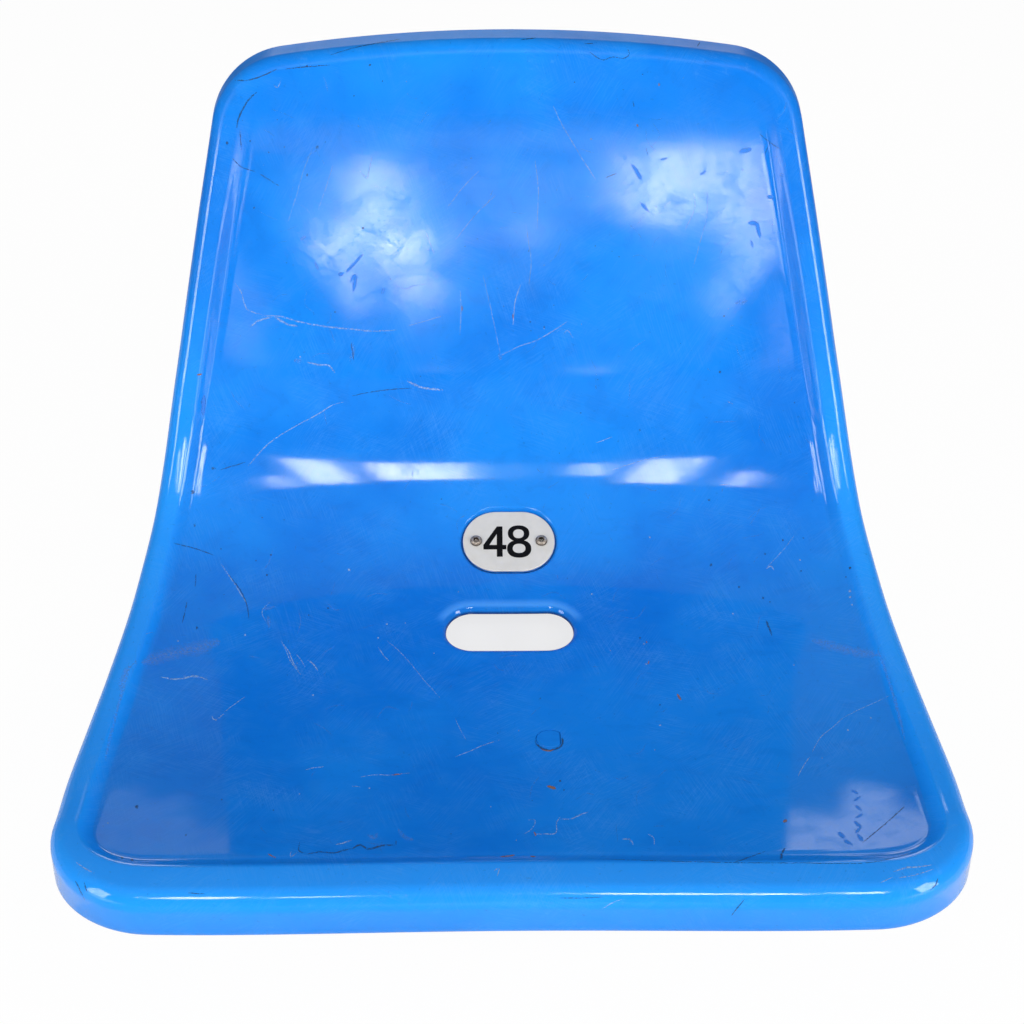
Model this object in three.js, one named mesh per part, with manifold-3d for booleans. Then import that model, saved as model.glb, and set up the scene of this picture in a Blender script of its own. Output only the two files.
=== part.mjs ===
// A one-piece stadium seat shell with its number plate, plate rivets, pan plug,
// threaded inserts, bolts, washers and two floor brackets.
// Millimetres, +Z up, +X across the seat, the sitter faces -Y.
import * as THREE from 'three';
import { mergeVertices } from 'three/addons/utils/BufferGeometryUtils.js';
import Module from 'manifold-3d';

const wasm = await Module();
wasm.setup();

// Shell: overall sizes
const shellWidth = 437;
const profileLength = 547;
const wall = 4;
const dishHeight = 25;

// Shell: outline in the developed plane, measured along the centre profile
const frontOverhang = 21.6;
const frontCornerRadius = 50;
const frontEdgeSag = 3.8;
const topEdgeStation = 532.4;
const topCornerRadius = 34;
const topEdgeCrown = 6.7;

// Shell: rim section, from the fillet on the pan out to the flange
const sideRimWidth = 22;
const frontRimWidth = 29;
const sideBandWidth = 4;
const frontBandWidth = 10;
const rollRadius = 8.5;
const sideLipHeight = 5.5;
const frontLipHeight = 4;
const topLipHeight = 0.3;
const frontFlangeDepth = 31;
const sideFlangeDepth = 28;
const backFlangeDepth = 22;
const frontFlangeLean = 4.5;
const sideFlangeDraft = 1.5;

// Drain slot in the lowest place of the pan
const slotLength = 70;
const slotWidth = 29.5;
const slotStation = 185;
const slotLipRadius = 4.5;
const slotSkirt = 0.8;

// Number plate in its recess, and its two blind rivets
const plateLength = 52.4;
const plateWidth = 38;
const plateThickness = 1.5;
const plateStation = 246;
const recessDepth = 0.8;
const recessMargin = 1.4;
const rivetInset = 7.6;
const rivetHeadRadius = 3.4;
const rivetHeadHeight = 1.5;
const rivetShankRadius = 1.6;
const rivetBoreRadius = 1.2;
const rivetBulbRadius = 2.7;
const rivetBulbLength = 4;
const mandrelRadius = 0.9;
const mandrelHeadRadius = 1.5;
const leftMandrelDepth = 0.5;
const rightMandrelDepth = 2.2;

// Plug in the front of the pan
const plugDiameter = 13.7;
const plugFlatInset = 1.6;
const plugStation = 98.8;
const plugOffset = 19.5;
const plugCollarOverlap = 2;
const plugCollarThickness = 1.4;
const plugSeatDepth = 0.2;

// Fixing bosses, ribs and threaded inserts below the pan
const bossSpacing = 190;
const frontBossPlace = 80;
const rearBossPlace = 225;
const bossRadius = 10;
const bossDrop = 6.5;
const insertRadius = 6;
const insertLength = 10;
const insertFlangeRadius = 7.4;
const insertFlangeThickness = 1.2;
const ribThickness = 3;
const ribDrop = 6;
const ribReach = 52;

// Bolts and washers
const boltRadius = 4;
const boltTipInset = 1;
const boltHeadAcrossFlats = 13;
const boltHeadHeight = 5.3;
const washerRadius = 8;
const washerThickness = 1.6;
const springWasherRadius = 7;
const springWasherThickness = 2;
const springWasherSlit = 1.6;

// Floor brackets
const bracketWidth = 40;
const bracketThickness = 3;
const bracketRise = 24;
const bracketTopMargin = 22;
const bracketFootLength = 42;
const bracketBendRadius = 6;
const anchorSlotLength = 16;
const anchorSlotWidth = 9;

// Clearances and cutting allowances
const fitGap = 0.3;
const overrun = 5;
const weldShare = 0.001;

// Centre profile: heading above the horizontal, in degrees, at shares of its length
const headingStationShares = [
  0, 0.082, 0.174, 0.256, 0.331, 0.393, 0.45, 0.525, 0.603, 0.731, 0.859, 1,
];
const headingDegrees = [-13.7, -10.1, -6.5, -1.6, 2.9, 11.4, 23.5, 49.3, 70, 77.8, 79, 79.1];
// The rim stays level round the pan and follows the profile up the back
const rimStationShares = [0, 0.256, 0.347, 0.45, 0.525, 0.603, 0.731, 1];
const rimHeadingDegrees = [0, 0, 6, 24, 46, 66, 76, 79];
// Half width and edge rise, as shares of the half width and of the dish height
const widthStationShares = [
  0, 0.055, 0.11, 0.183, 0.256, 0.331, 0.393, 0.45, 0.525, 0.603, 0.695, 0.804, 0.896, 1,
];
const widthShares = [
  0.994, 0.991, 0.993, 0.984, 0.967, 0.946, 0.93, 0.913, 0.892, 0.868, 0.825, 0.769, 0.718, 0.66,
];
const dishStationShares = [0, 0.174, 0.331, 0.45, 0.525, 0.603, 0.804, 1];
const dishShares = [0.12, 0.28, 0.6, 0.88, 1, 0.84, 0.48, 0.36];
const dishPower = 2.2;
// Height of the side lip, as shares: low round the pan, high at the bend, fading up the back
const lipStationShares = [0, 0.25, 0.45, 0.6, 0.75, 0.9, 1];
const lipHeightShares = [0.75, 0.7, 1, 1, 0.85, 0.45, 0.3];
// Lip section: inset from the crest and drop below it, as shares of the fillet
const lipSectionShares = [[1, 1], [0.74, 0.89], [0.44, 0.5], [0.18, 0.12], [0, 0]];
const cornerPullShare = 0.55;
// Places of the pan's rings between the slot and the rim, closest round the bend
const panRingShares = [0.07, 0.15, 0.23, 0.31, 0.4, 0.52, 0.74];
// Mandrel head: radius and depth below its shoulder, as shares of the head's radius
const mandrelHeadShares = [[1, 0], [1, 1], [0.7, 1.7], [0, 2]];

// Counts of points
const frontEdgeSteps = 7;
const frontCornerSteps = 6;
const sideSteps = 15;
const topCornerSteps = 5;
const topEdgeSteps = 5;
const rollSteps = 4;
const profileSteps = 400;
const trimColumns = 6;
const trimRows = 12;
const bendSegments = 3;
const roundSegments = 20;

const halfWidth = shellWidth / 2;
const rollCore = rollRadius - wall;
const rivetPitch = plateLength - 2 * rivetInset;
const quarterTurn = Math.PI / 2;
// No place of the shell is higher than its own profile is long
const trimHeight = profileLength;

const shellBlue = { color: 0x2a7fdc, roughness: 0.38, metalness: 0 };
const plateGrey = { color: 0xd3d5d8, roughness: 0.5, metalness: 0.1 };
const rivetAluminium = { color: 0xc4c6c8, roughness: 0.35, metalness: 0.9 };
const darkSteel = { color: 0x5a5a5c, roughness: 0.5, metalness: 0.9 };
const insertBrass = { color: 0xb5924c, roughness: 0.4, metalness: 0.9 };
const zincSteel = { color: 0xb4b8bc, roughness: 0.4, metalness: 0.9 };
const galvanised = { color: 0x9da3a8, roughness: 0.6, metalness: 0.8 };

const seat = new THREE.Group();

function addPiece(name, geometry, look) {
  const mesh = new THREE.Mesh(geometry, new THREE.MeshStandardMaterial(look));
  mesh.name = name;
  seat.add(mesh);
}

// Smooth curve through a table of values, with its slopes taken from its neighbours
function readTable(stations, values, at) {
  const last = stations.length - 1;
  const t = Math.min(Math.max(at, stations[0]), stations[last]);
  let k = 0;
  while (k < last - 1 && t > stations[k + 1]) {
    k += 1;
  }
  const secant = (i) => (values[i + 1] - values[i]) / (stations[i + 1] - stations[i]);
  const slope = (i) => {
    if (i === 0) return secant(0);
    if (i === last) return secant(last - 1);
    const before = stations[i] - stations[i - 1];
    const after = stations[i + 1] - stations[i];
    return (secant(i) * before + secant(i - 1) * after) / (before + after);
  };
  const span = stations[k + 1] - stations[k];
  const u = (t - stations[k]) / span;
  const rise = u * u * (3 - 2 * u);
  const startPull = u * (1 - u) * (1 - u) * span * slope(k);
  const endPull = u * u * (1 - u) * span * slope(k + 1);
  return values[k] * (1 - rise) + values[k + 1] * rise + startPull - endPull;
}

const toRadians = THREE.MathUtils.degToRad;
const share = (station) => station / profileLength;
const headingAt = (s) => toRadians(readTable(headingStationShares, headingDegrees, share(s)));
const rimHeadingAt = (s) => toRadians(readTable(rimStationShares, rimHeadingDegrees, share(s)));
const halfWidthAt = (s) => halfWidth * readTable(widthStationShares, widthShares, share(s));
const dishAt = (s) => dishHeight * readTable(dishStationShares, dishShares, share(s));
const sideLipAt = (s) => sideLipHeight * readTable(lipStationShares, lipHeightShares, share(s));

// The centre profile as points one step apart, starting ahead of station zero
const profileStart = -frontOverhang;
const profileStep = (profileLength - profileStart) / profileSteps;
const profile = [{ y: profileStart, z: 0 }];
for (let i = 1; i <= profileSteps; i += 1) {
  const heading = headingAt(profileStart + (i - 0.5) * profileStep);
  const previous = profile[i - 1];
  profile.push({
    y: previous.y + profileStep * Math.cos(heading),
    z: previous.z + profileStep * Math.sin(heading),
  });
}

function profilePoint(s) {
  const place = Math.min(Math.max((s - profileStart) / profileStep, 0), profileSteps);
  const i = Math.min(Math.floor(place), profileSteps - 1);
  const u = place - i;
  return {
    y: profile[i].y * (1 - u) + profile[i + 1].y * u,
    z: profile[i].z * (1 - u) + profile[i + 1].z * u,
  };
}

// A point of the seating surface, lifted along the profile normal
function surfacePoint(x, s, lift) {
  const heading = headingAt(s);
  const centre = profilePoint(s);
  const reach = Math.min(Math.abs(x) / (halfWidthAt(s) - sideRimWidth), 1);
  const rise = dishAt(s) * reach ** dishPower + lift;
  const y = centre.y - Math.sin(heading) * rise;
  return new THREE.Vector3(x, y, centre.z + Math.cos(heading) * rise);
}

// Half of the outer outline in the developed plane, from front centre to top centre
function halfOutline() {
  const points = [];
  const cornerStart = halfWidthAt(frontCornerRadius - frontOverhang) - frontCornerRadius;
  for (let i = 0; i < frontEdgeSteps; i += 1) {
    const u = i / frontEdgeSteps;
    points.push(new THREE.Vector2(cornerStart * u, frontEdgeSag * (1 - u * u) ** 2 - frontOverhang));
  }
  for (let i = 0; i < frontCornerSteps; i += 1) {
    const angle = (quarterTurn * i) / frontCornerSteps;
    const x = cornerStart + frontCornerRadius * Math.sin(angle);
    points.push(new THREE.Vector2(x, frontCornerRadius * (1 - Math.cos(angle)) - frontOverhang));
  }
  const sideStart = frontCornerRadius - frontOverhang;
  const sideEnd = topEdgeStation - topEdgeCrown - topCornerRadius;
  for (let i = 0; i < sideSteps; i += 1) {
    const s = sideStart + ((sideEnd - sideStart) * i) / sideSteps;
    points.push(new THREE.Vector2(halfWidthAt(s), s));
  }
  const top = sideEnd + topCornerRadius;
  const sideTaper = (halfWidthAt(sideEnd) - halfWidthAt(top)) / topCornerRadius;
  const topHalf = halfWidthAt(sideEnd) - topCornerRadius * (1 + sideTaper / 2);
  const pull = topCornerRadius * cornerPullShare;
  const corner = new THREE.CubicBezierCurve(
    new THREE.Vector2(halfWidthAt(sideEnd), sideEnd),
    new THREE.Vector2(halfWidthAt(sideEnd) - sideTaper * pull, sideEnd + pull),
    new THREE.Vector2(topHalf + pull, top - (2 * topEdgeCrown * pull) / topHalf),
    new THREE.Vector2(topHalf, top),
  );
  for (let i = 0; i < topCornerSteps; i += 1) {
    points.push(corner.getPoint(i / topCornerSteps));
  }
  for (let i = 0; i <= topEdgeSteps; i += 1) {
    const u = 1 - i / topEdgeSteps;
    points.push(new THREE.Vector2(topHalf * u, top + topEdgeCrown * (1 - u * u)));
  }
  return points;
}

function closedOutline() {
  const half = halfOutline();
  const mirrored = half.slice(1, -1).reverse().map((p) => new THREE.Vector2(-p.x, p.y));
  return [...half, ...mirrored];
}

function outwardNormals(outline) {
  const count = outline.length;
  return outline.map((_, i) => {
    const before = outline[(i + count - 1) % count];
    const after = outline[(i + 1) % count];
    return new THREE.Vector2(after.y - before.y, before.x - after.x).normalize();
  });
}

const mix = (side, front, weight) => side + (front - side) * weight;

// Everything the rim section needs at one place of the outline
function rimStation(point, normal) {
  const front = point.y < slotStation ? Math.max(-normal.y, 0) ** 2 : 0;
  const top = point.y > slotStation ? Math.max(normal.y, 0) ** 2 : 0;
  const width = mix(sideRimWidth, frontRimWidth, front);
  const band = mix(sideBandWidth, frontBandWidth, front);
  const back = THREE.MathUtils.smoothstep(point.y, slotStation, plateStation + slotStation);
  const foot = point.clone().addScaledVector(normal, -width);
  const heading = rimHeadingAt(foot.y);
  return {
    width,
    crest: rollRadius + band,
    lip: mix(mix(sideLipAt(point.y), frontLipHeight, front), topLipHeight, top),
    depth: mix(mix(sideFlangeDepth, backFlangeDepth, back), frontFlangeDepth, front),
    draft: mix(sideFlangeDraft, -frontFlangeLean, front),
    foot,
    base: surfacePoint(foot.x, foot.y, 0),
    outward: new THREE.Vector3(normal.x, normal.y * Math.cos(heading), normal.y * Math.sin(heading)),
    up: new THREE.Vector3(0, -Math.sin(heading), Math.cos(heading)),
  };
}

// A point of the rim, by its inset from the outline and its height over the crest
function rimPoint(station, inset, height) {
  return station.base
    .clone()
    .addScaledVector(station.outward, station.width - inset)
    .addScaledVector(station.up, station.lip + height);
}

// The slot's edge seen from its centre in the direction of a point
function slotEdge(target) {
  const end = slotWidth / 2;
  const straight = slotLength / 2 - end;
  const dx = target.x;
  const ds = target.y - slotStation;
  const away = Math.hypot(dx, ds);
  const ux = dx / away;
  const us = ds / away;
  if (Math.abs(ux) * end <= straight * Math.abs(us)) {
    const side = Math.sign(us);
    const flat = new THREE.Vector2((ux * end) / Math.abs(us), side * end);
    return { point: flat, normal: new THREE.Vector2(0, side) };
  }
  const centre = Math.sign(ux) * straight;
  const along = ux * centre;
  const reach = along + Math.sqrt(along * along - straight * straight + end * end);
  const point = new THREE.Vector2(ux * reach, us * reach);
  const normal = new THREE.Vector2(point.x - centre, point.y).divideScalar(end);
  return { point, normal };
}

function slotPoint(edge, outset, lift) {
  const x = edge.point.x + edge.normal.x * outset;
  const s = slotStation + edge.point.y + edge.normal.y * outset;
  return surfacePoint(x, s, lift);
}

// Rings of points from the slot over the pan, round the rim and back underneath
function shellRings() {
  const outline = closedOutline();
  const normals = outwardNormals(outline);
  const stations = outline.map((point, i) => rimStation(point, normals[i]));
  const edges = stations.map((station) => slotEdge(station.foot));
  const rings = [];
  const slotBottom = -(slotLipRadius + slotSkirt);
  const slotRing = (outset, lift) => rings.push(edges.map((edge) => slotPoint(edge, outset, lift)));
  const panRing = (part, lift) => rings.push(stations.map((station, i) => {
    const edge = edges[i];
    const startX = edge.point.x + edge.normal.x * slotLipRadius;
    const startS = slotStation + edge.point.y + edge.normal.y * slotLipRadius;
    return surfacePoint(mix(startX, station.foot.x, part), mix(startS, station.foot.y, part), lift);
  }));
  const rimRing = (place) => rings.push(stations.map((station) => {
    const { inset, height } = place(station);
    return rimPoint(station, inset, height);
  }));
  const lipRing = ([insetShare, dropShare], inward, down) => rimRing((station) => ({
    inset: station.crest + (station.width - station.crest) * insetShare + inward,
    height: -station.lip * dropShare - down,
  }));
  const rollRing = (radius, angle) => rimRing(() => ({
    inset: rollRadius - radius * Math.sin(angle),
    height: radius * Math.cos(angle) - rollRadius,
  }));

  slotRing(0, slotBottom);
  for (let i = 0; i <= 3; i += 1) {
    const angle = quarterTurn * (1 - i / 3);
    const outset = slotLipRadius * (1 - Math.sin(angle));
    slotRing(outset, slotLipRadius * (Math.cos(angle) - 1));
  }
  panRingShares.forEach((part) => panRing(part, 0));
  lipSectionShares.forEach((shares) => lipRing(shares, 0, 0));
  for (let i = 0; i <= rollSteps; i += 1) {
    rollRing(rollRadius, (quarterTurn * i) / rollSteps);
  }
  rimRing((station) => ({ inset: -station.draft, height: -station.depth }));
  rimRing((station) => ({ inset: wall - station.draft, height: -station.depth }));
  for (let i = 2; i >= 0; i -= 1) {
    rollRing(rollCore, (quarterTurn * i) / 2);
  }
  [...lipSectionShares].reverse().forEach((shares) => lipRing(shares, wall / 2, wall));
  [...panRingShares].reverse().forEach((part) => panRing(part, -wall));
  slotRing(slotLipRadius, -wall);
  slotRing(wall, slotBottom);
  return rings;
}

function indexedGeometry(points, index) {
  const geometry = new THREE.BufferGeometry();
  const positions = points.flatMap((p) => p.toArray());
  geometry.setAttribute('position', new THREE.Float32BufferAttribute(positions, 3));
  geometry.setIndex(index);
  return geometry;
}

// Closed solid from rings that follow one another and meet again at the end
function ringGeometry(rings) {
  const count = rings[0].length;
  const index = [];
  rings.forEach((_, j) => {
    const here = j * count;
    const there = ((j + 1) % rings.length) * count;
    for (let i = 0; i < count; i += 1) {
      const next = (i + 1) % count;
      const corners = [here + i, there + i, there + next, here + next];
      const turn = 2 * i < count ? [0, 1, 2, 0, 2, 3] : [0, 1, 3, 1, 2, 3];
      index.push(...turn.map((k) => corners[k]));
    }
  });
  return indexedGeometry(rings.flat(), index);
}

function toSolid(geometry) {
  const plain = geometry.clone();
  plain.deleteAttribute('normal');
  plain.deleteAttribute('uv');
  const merged = mergeVertices(plain, fitGap * weldShare);
  return new wasm.Manifold(new wasm.Mesh({
    numProp: 3,
    vertProperties: new Float32Array(merged.getAttribute('position').array),
    triVerts: new Uint32Array(merged.getIndex().array),
  }));
}

function toGeometry(solid) {
  const mesh = solid.getMesh();
  const geometry = new THREE.BufferGeometry();
  geometry.setAttribute('position', new THREE.Float32BufferAttribute(mesh.vertProperties, 3));
  geometry.setIndex(Array.from(mesh.triVerts));
  return geometry;
}

// A stadium outline: two straight sides and two round ends
function stadiumShape(length, width) {
  const end = width / 2;
  const straight = length / 2 - end;
  const shape = new THREE.Shape();
  shape.absarc(straight, 0, end, -quarterTurn, quarterTurn, false);
  shape.absarc(-straight, 0, end, quarterTurn, 3 * quarterTurn, false);
  shape.closePath();
  return shape;
}

function circleShape(radius) {
  return new THREE.Shape().absarc(0, 0, radius, 0, 4 * quarterTurn, false);
}

// Extruded from one height to another in its own frame
function extrudeBetween(shape, bottom, top, segments = roundSegments / 2) {
  const options = { depth: top - bottom, bevelEnabled: false, curveSegments: segments };
  return new THREE.ExtrudeGeometry(shape, options).translate(0, 0, bottom);
}

function cylinderBetween(radius, bottom, top) {
  const geometry = new THREE.CylinderGeometry(radius, radius, top - bottom, roundSegments);
  return geometry.rotateX(quarterTurn).translate(0, 0, (top + bottom) / 2);
}

// Solid of revolution about Z from [radius, height] pairs that close on themselves or on the axis
function turned(pairs) {
  const points = pairs.map(([radius, height]) => new THREE.Vector2(radius, height));
  return new THREE.LatheGeometry(points, roundSegments).rotateX(quarterTurn);
}

// Frame on the seating surface: X across, Y up the profile, Z off the surface
function surfaceFrame(x, s) {
  const frame = new THREE.Matrix4().makeRotationX(headingAt(s));
  return frame.setPosition(surfacePoint(x, s, 0));
}

// Everything above the middle of the pan's wall, to trim what stands under it
function aboveMiddle() {
  const across = trimColumns;
  const along = trimRows;
  const reachX = bossSpacing / 2 + ribReach + overrun;
  const endS = plateStation + plateWidth;
  const bottom = [];
  for (let j = 0; j <= along; j += 1) {
    for (let i = 0; i <= across; i += 1) {
      bottom.push(surfacePoint(mix(-reachX, reachX, i / across), mix(0, endS, j / along), -wall / 2));
    }
  }
  const top = bottom.map((p) => new THREE.Vector3(p.x, p.y, trimHeight));
  const points = [...bottom, ...top];
  const row = across + 1;
  const lifted = bottom.length;
  const index = [];
  const quad = (a, b, c, d) => index.push(a, b, c, a, c, d);
  for (let j = 0; j < along; j += 1) {
    for (let i = 0; i < across; i += 1) {
      const a = j * row + i;
      quad(a, a + row, a + row + 1, a + 1);
      quad(a + lifted, a + lifted + 1, a + lifted + row + 1, a + lifted + row);
    }
  }
  for (let i = 0; i < across; i += 1) {
    const rear = along * row + i;
    quad(i, i + 1, i + 1 + lifted, i + lifted);
    quad(rear + 1, rear, rear + lifted, rear + 1 + lifted);
  }
  for (let j = 0; j < along; j += 1) {
    const left = j * row;
    const right = left + across;
    quad(left + row, left, left + lifted, left + row + lifted);
    quad(right, right + row, right + row + lifted, right + lifted);
  }
  return indexedGeometry(points, index);
}

// Levels of the fixing stack, downwards from the lowest place of the pan
const panBottom = surfacePoint(0, slotStation, -wall).z;
const bossBottom = panBottom - bossDrop;
const bracketTop = bossBottom - fitGap;
const bracketUnderside = bracketTop - bracketThickness;
const washerTop = bracketUnderside - fitGap;
const springTop = washerTop - washerThickness - fitGap;
const headTop = springTop - springWasherThickness - fitGap;
const floorLevel = bracketUnderside - bracketRise;
const bossPlaces = [
  ['front_left', -bossSpacing / 2, frontBossPlace],
  ['front_right', bossSpacing / 2, frontBossPlace],
  ['rear_left', -bossSpacing / 2, rearBossPlace],
  ['rear_right', bossSpacing / 2, rearBossPlace],
];

function boxBetween(low, high) {
  const size = high.clone().sub(low);
  const middle = high.clone().add(low).multiplyScalar(0.5);
  return new THREE.BoxGeometry(size.x, size.y, size.z).translate(middle.x, middle.y, middle.z);
}

// Bosses and ribs below the pan, trimmed at the middle of its wall
function underframe() {
  const half = ribThickness / 2;
  const ribBottom = bossBottom + ribDrop;
  const outer = bossSpacing / 2 + ribReach;
  const rib = (x0, y0, x1, y1) => toSolid(boxBetween(
    new THREE.Vector3(x0, y0, ribBottom),
    new THREE.Vector3(x1, y1, trimHeight / 2),
  ));
  let solid = rib(-outer, frontBossPlace - half, outer, frontBossPlace + half);
  solid = solid.add(rib(-outer, rearBossPlace - half, outer, rearBossPlace + half));
  [-bossSpacing / 2, bossSpacing / 2].forEach((x) => {
    solid = solid.add(rib(x - half, frontBossPlace, x + half, rearBossPlace));
  });
  bossPlaces.forEach(([, x, y]) => {
    const boss = cylinderBetween(bossRadius, bossBottom, trimHeight / 2).translate(x, y, 0);
    solid = solid.add(toSolid(boss));
  });
  return solid.subtract(toSolid(aboveMiddle()));
}

const plateFrame = surfaceFrame(0, plateStation);
const plugFrame = surfaceFrame(plugOffset, plugStation);
const plateBottom = fitGap - recessDepth;
const plateTop = plateBottom + plateThickness;
const holeRadius = rivetShankRadius + fitGap;
const plugRadius = plugDiameter / 2;
const collarRadius = plugRadius + plugCollarOverlap;

function plugShape(radius, flatInset) {
  const half = Math.acos((radius - flatInset) / radius);
  const shape = new THREE.Shape();
  shape.absarc(0, 0, radius, half, 4 * quarterTurn - half, false);
  shape.closePath();
  return shape;
}

function shellSolid() {
  let solid = toSolid(ringGeometry(shellRings())).add(underframe());
  const recess = stadiumShape(plateLength + 2 * recessMargin, plateWidth + 2 * recessMargin);
  const cuts = [extrudeBetween(recess, -recessDepth, wall + overrun).applyMatrix4(plateFrame)];
  [-rivetPitch / 2, rivetPitch / 2].forEach((x) => {
    const hole = cylinderBetween(holeRadius, -wall - overrun, overrun).translate(x, 0, 0);
    cuts.push(hole.applyMatrix4(plateFrame));
  });
  const plugHole = plugShape(plugRadius + fitGap, plugFlatInset);
  cuts.push(extrudeBetween(plugHole, -wall - overrun, overrun).applyMatrix4(plugFrame));
  const seatBottom = -wall - plugCollarThickness - overrun;
  const collarSeat = cylinderBetween(collarRadius + fitGap, seatBottom, plugSeatDepth - wall);
  cuts.push(collarSeat.applyMatrix4(plugFrame));
  const holeTop = bossBottom + insertLength + fitGap;
  bossPlaces.forEach(([, x, y]) => {
    cuts.push(cylinderBetween(insertRadius + fitGap, bossBottom - overrun, holeTop).translate(x, y, 0));
    const seatTop = bossBottom + insertFlangeThickness + fitGap;
    const counterbore = cylinderBetween(insertFlangeRadius + fitGap, bossBottom - overrun, seatTop);
    cuts.push(counterbore.translate(x, y, 0));
  });
  cuts.forEach((cut) => {
    solid = solid.subtract(toSolid(cut));
  });
  return solid;
}

function plateGeometry() {
  const shape = stadiumShape(plateLength, plateWidth);
  [-rivetPitch / 2, rivetPitch / 2].forEach((x) => {
    shape.holes.push(new THREE.Path().absarc(x, 0, holeRadius, 0, 4 * quarterTurn, true));
  });
  return extrudeBetween(shape, plateBottom, plateTop).applyMatrix4(plateFrame);
}

// Blind rivet: domed head on the plate, hollow shank, bulb against the underside
function rivetGeometry(x) {
  const seatLevel = plateTop + fitGap;
  const crownRadius = rivetBoreRadius + (rivetHeadRadius - rivetBoreRadius) / 2;
  const bulbTop = -wall - fitGap;
  const bulbMiddle = bulbTop - rivetBulbLength / 2;
  const bulbEnd = bulbTop - rivetBulbLength;
  const edgeHeight = rivetHeadHeight / 3;
  const pairs = [
    [rivetBoreRadius, seatLevel + rivetHeadHeight],
    [rivetBoreRadius, bulbEnd],
    [rivetShankRadius + fitGap, bulbEnd],
    [rivetBulbRadius, bulbMiddle],
    [rivetShankRadius + fitGap, bulbTop],
    [rivetShankRadius, bulbTop],
    [rivetShankRadius, seatLevel],
    [rivetHeadRadius, seatLevel],
    [rivetHeadRadius, seatLevel + edgeHeight],
    [crownRadius, seatLevel + rivetHeadHeight - edgeHeight / 2],
    [rivetBoreRadius, seatLevel + rivetHeadHeight],
  ];
  return turned(pairs).translate(x, 0, 0).applyMatrix4(plateFrame);
}

// Broken mandrel inside the rivet, with its head drawn against the bulb
function mandrelGeometry(x, depth) {
  const top = plateTop + fitGap + rivetHeadHeight - depth;
  const shoulder = -wall - rivetBulbLength - 2 * fitGap;
  const head = mandrelHeadShares.map(([out, down]) => [
    mandrelHeadRadius * out,
    shoulder - mandrelHeadRadius * down,
  ]);
  const pairs = [[0, top], [mandrelRadius, top], [mandrelRadius, shoulder], ...head];
  return turned(pairs.reverse()).translate(x, 0, 0).applyMatrix4(plateFrame);
}

// Pushed in from below: a flush cap through the wall and a collar against the underside
function plugGeometry() {
  const collarTop = plugSeatDepth - wall - fitGap;
  const cap = extrudeBetween(plugShape(plugRadius, plugFlatInset), collarTop - fitGap, 0);
  const collar = cylinderBetween(collarRadius, collarTop - plugCollarThickness, collarTop);
  return toGeometry(toSolid(cap).add(toSolid(collar))).applyMatrix4(plugFrame);
}

function insertGeometry(x, y) {
  const bore = boltRadius + fitGap;
  const top = bossBottom + insertLength;
  const flangeTop = bossBottom + insertFlangeThickness;
  const pairs = [
    [bore, bossBottom],
    [insertFlangeRadius, bossBottom],
    [insertFlangeRadius, flangeTop],
    [insertRadius, flangeTop],
    [insertRadius, top],
    [bore, top],
    [bore, bossBottom],
  ];
  return turned(pairs).translate(x, y, 0);
}

function boltGeometry(x, y) {
  const headRadius = boltHeadAcrossFlats / 2 / Math.cos(quarterTurn / 3);
  const head = new THREE.CylinderGeometry(headRadius, headRadius, boltHeadHeight, 6).rotateX(quarterTurn);
  head.translate(0, 0, headTop - boltHeadHeight / 2);
  const tip = bossBottom + insertLength - boltTipInset;
  const shank = cylinderBetween(boltRadius, headTop - boltHeadHeight / 2, tip);
  return toGeometry(toSolid(head).add(toSolid(shank))).translate(x, y, 0);
}

function washerGeometry(x, y) {
  const shape = circleShape(washerRadius);
  shape.holes.push(new THREE.Path().absarc(0, 0, boltRadius + fitGap, 0, 4 * quarterTurn, true));
  return extrudeBetween(shape, washerTop - washerThickness, washerTop).translate(x, y, 0);
}

// A ring with one slit across it
function springWasherGeometry(x, y) {
  const bore = boltRadius + fitGap;
  const outerHalf = Math.asin(springWasherSlit / 2 / springWasherRadius);
  const innerHalf = Math.asin(springWasherSlit / 2 / bore);
  const shape = new THREE.Shape();
  shape.absarc(0, 0, springWasherRadius, outerHalf, 4 * quarterTurn - outerHalf, false);
  shape.absarc(0, 0, bore, 4 * quarterTurn - innerHalf, innerHalf, true);
  shape.closePath();
  return extrudeBetween(shape, springTop - springWasherThickness, springTop).translate(x, y, 0);
}

// Side view of the folded strip: foot, leg, top, leg and foot, with round bends
function bracketOutline() {
  const topStart = frontBossPlace - bracketTopMargin;
  const topEnd = rearBossPlace + bracketTopMargin;
  const strip = bracketThickness;
  const outer = bracketBendRadius;
  const inner = outer - strip;
  const top = bracketRise + strip;
  const shape = new THREE.Shape();
  const bend = (y, z, radius, from, turn) => {
    shape.absarc(y, z, radius, from * quarterTurn, (from + turn) * quarterTurn, turn < 0);
  };
  shape.moveTo(topStart - bracketFootLength, strip);
  shape.lineTo(topStart - bracketFootLength, 0);
  bend(topStart - inner, outer, outer, -1, 1);
  bend(topStart + outer, top - outer, inner, 2, -1);
  bend(topEnd - outer, top - outer, inner, 1, -1);
  bend(topEnd + inner, outer, outer, 2, 1);
  shape.lineTo(topEnd + bracketFootLength, 0);
  shape.lineTo(topEnd + bracketFootLength, strip);
  bend(topEnd + inner, outer, inner, 3, -1);
  bend(topEnd - outer, top - outer, outer, 0, 1);
  bend(topStart + outer, top - outer, outer, 1, 1);
  bend(topStart - inner, outer, inner, 0, -1);
  shape.closePath();
  return shape;
}

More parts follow.
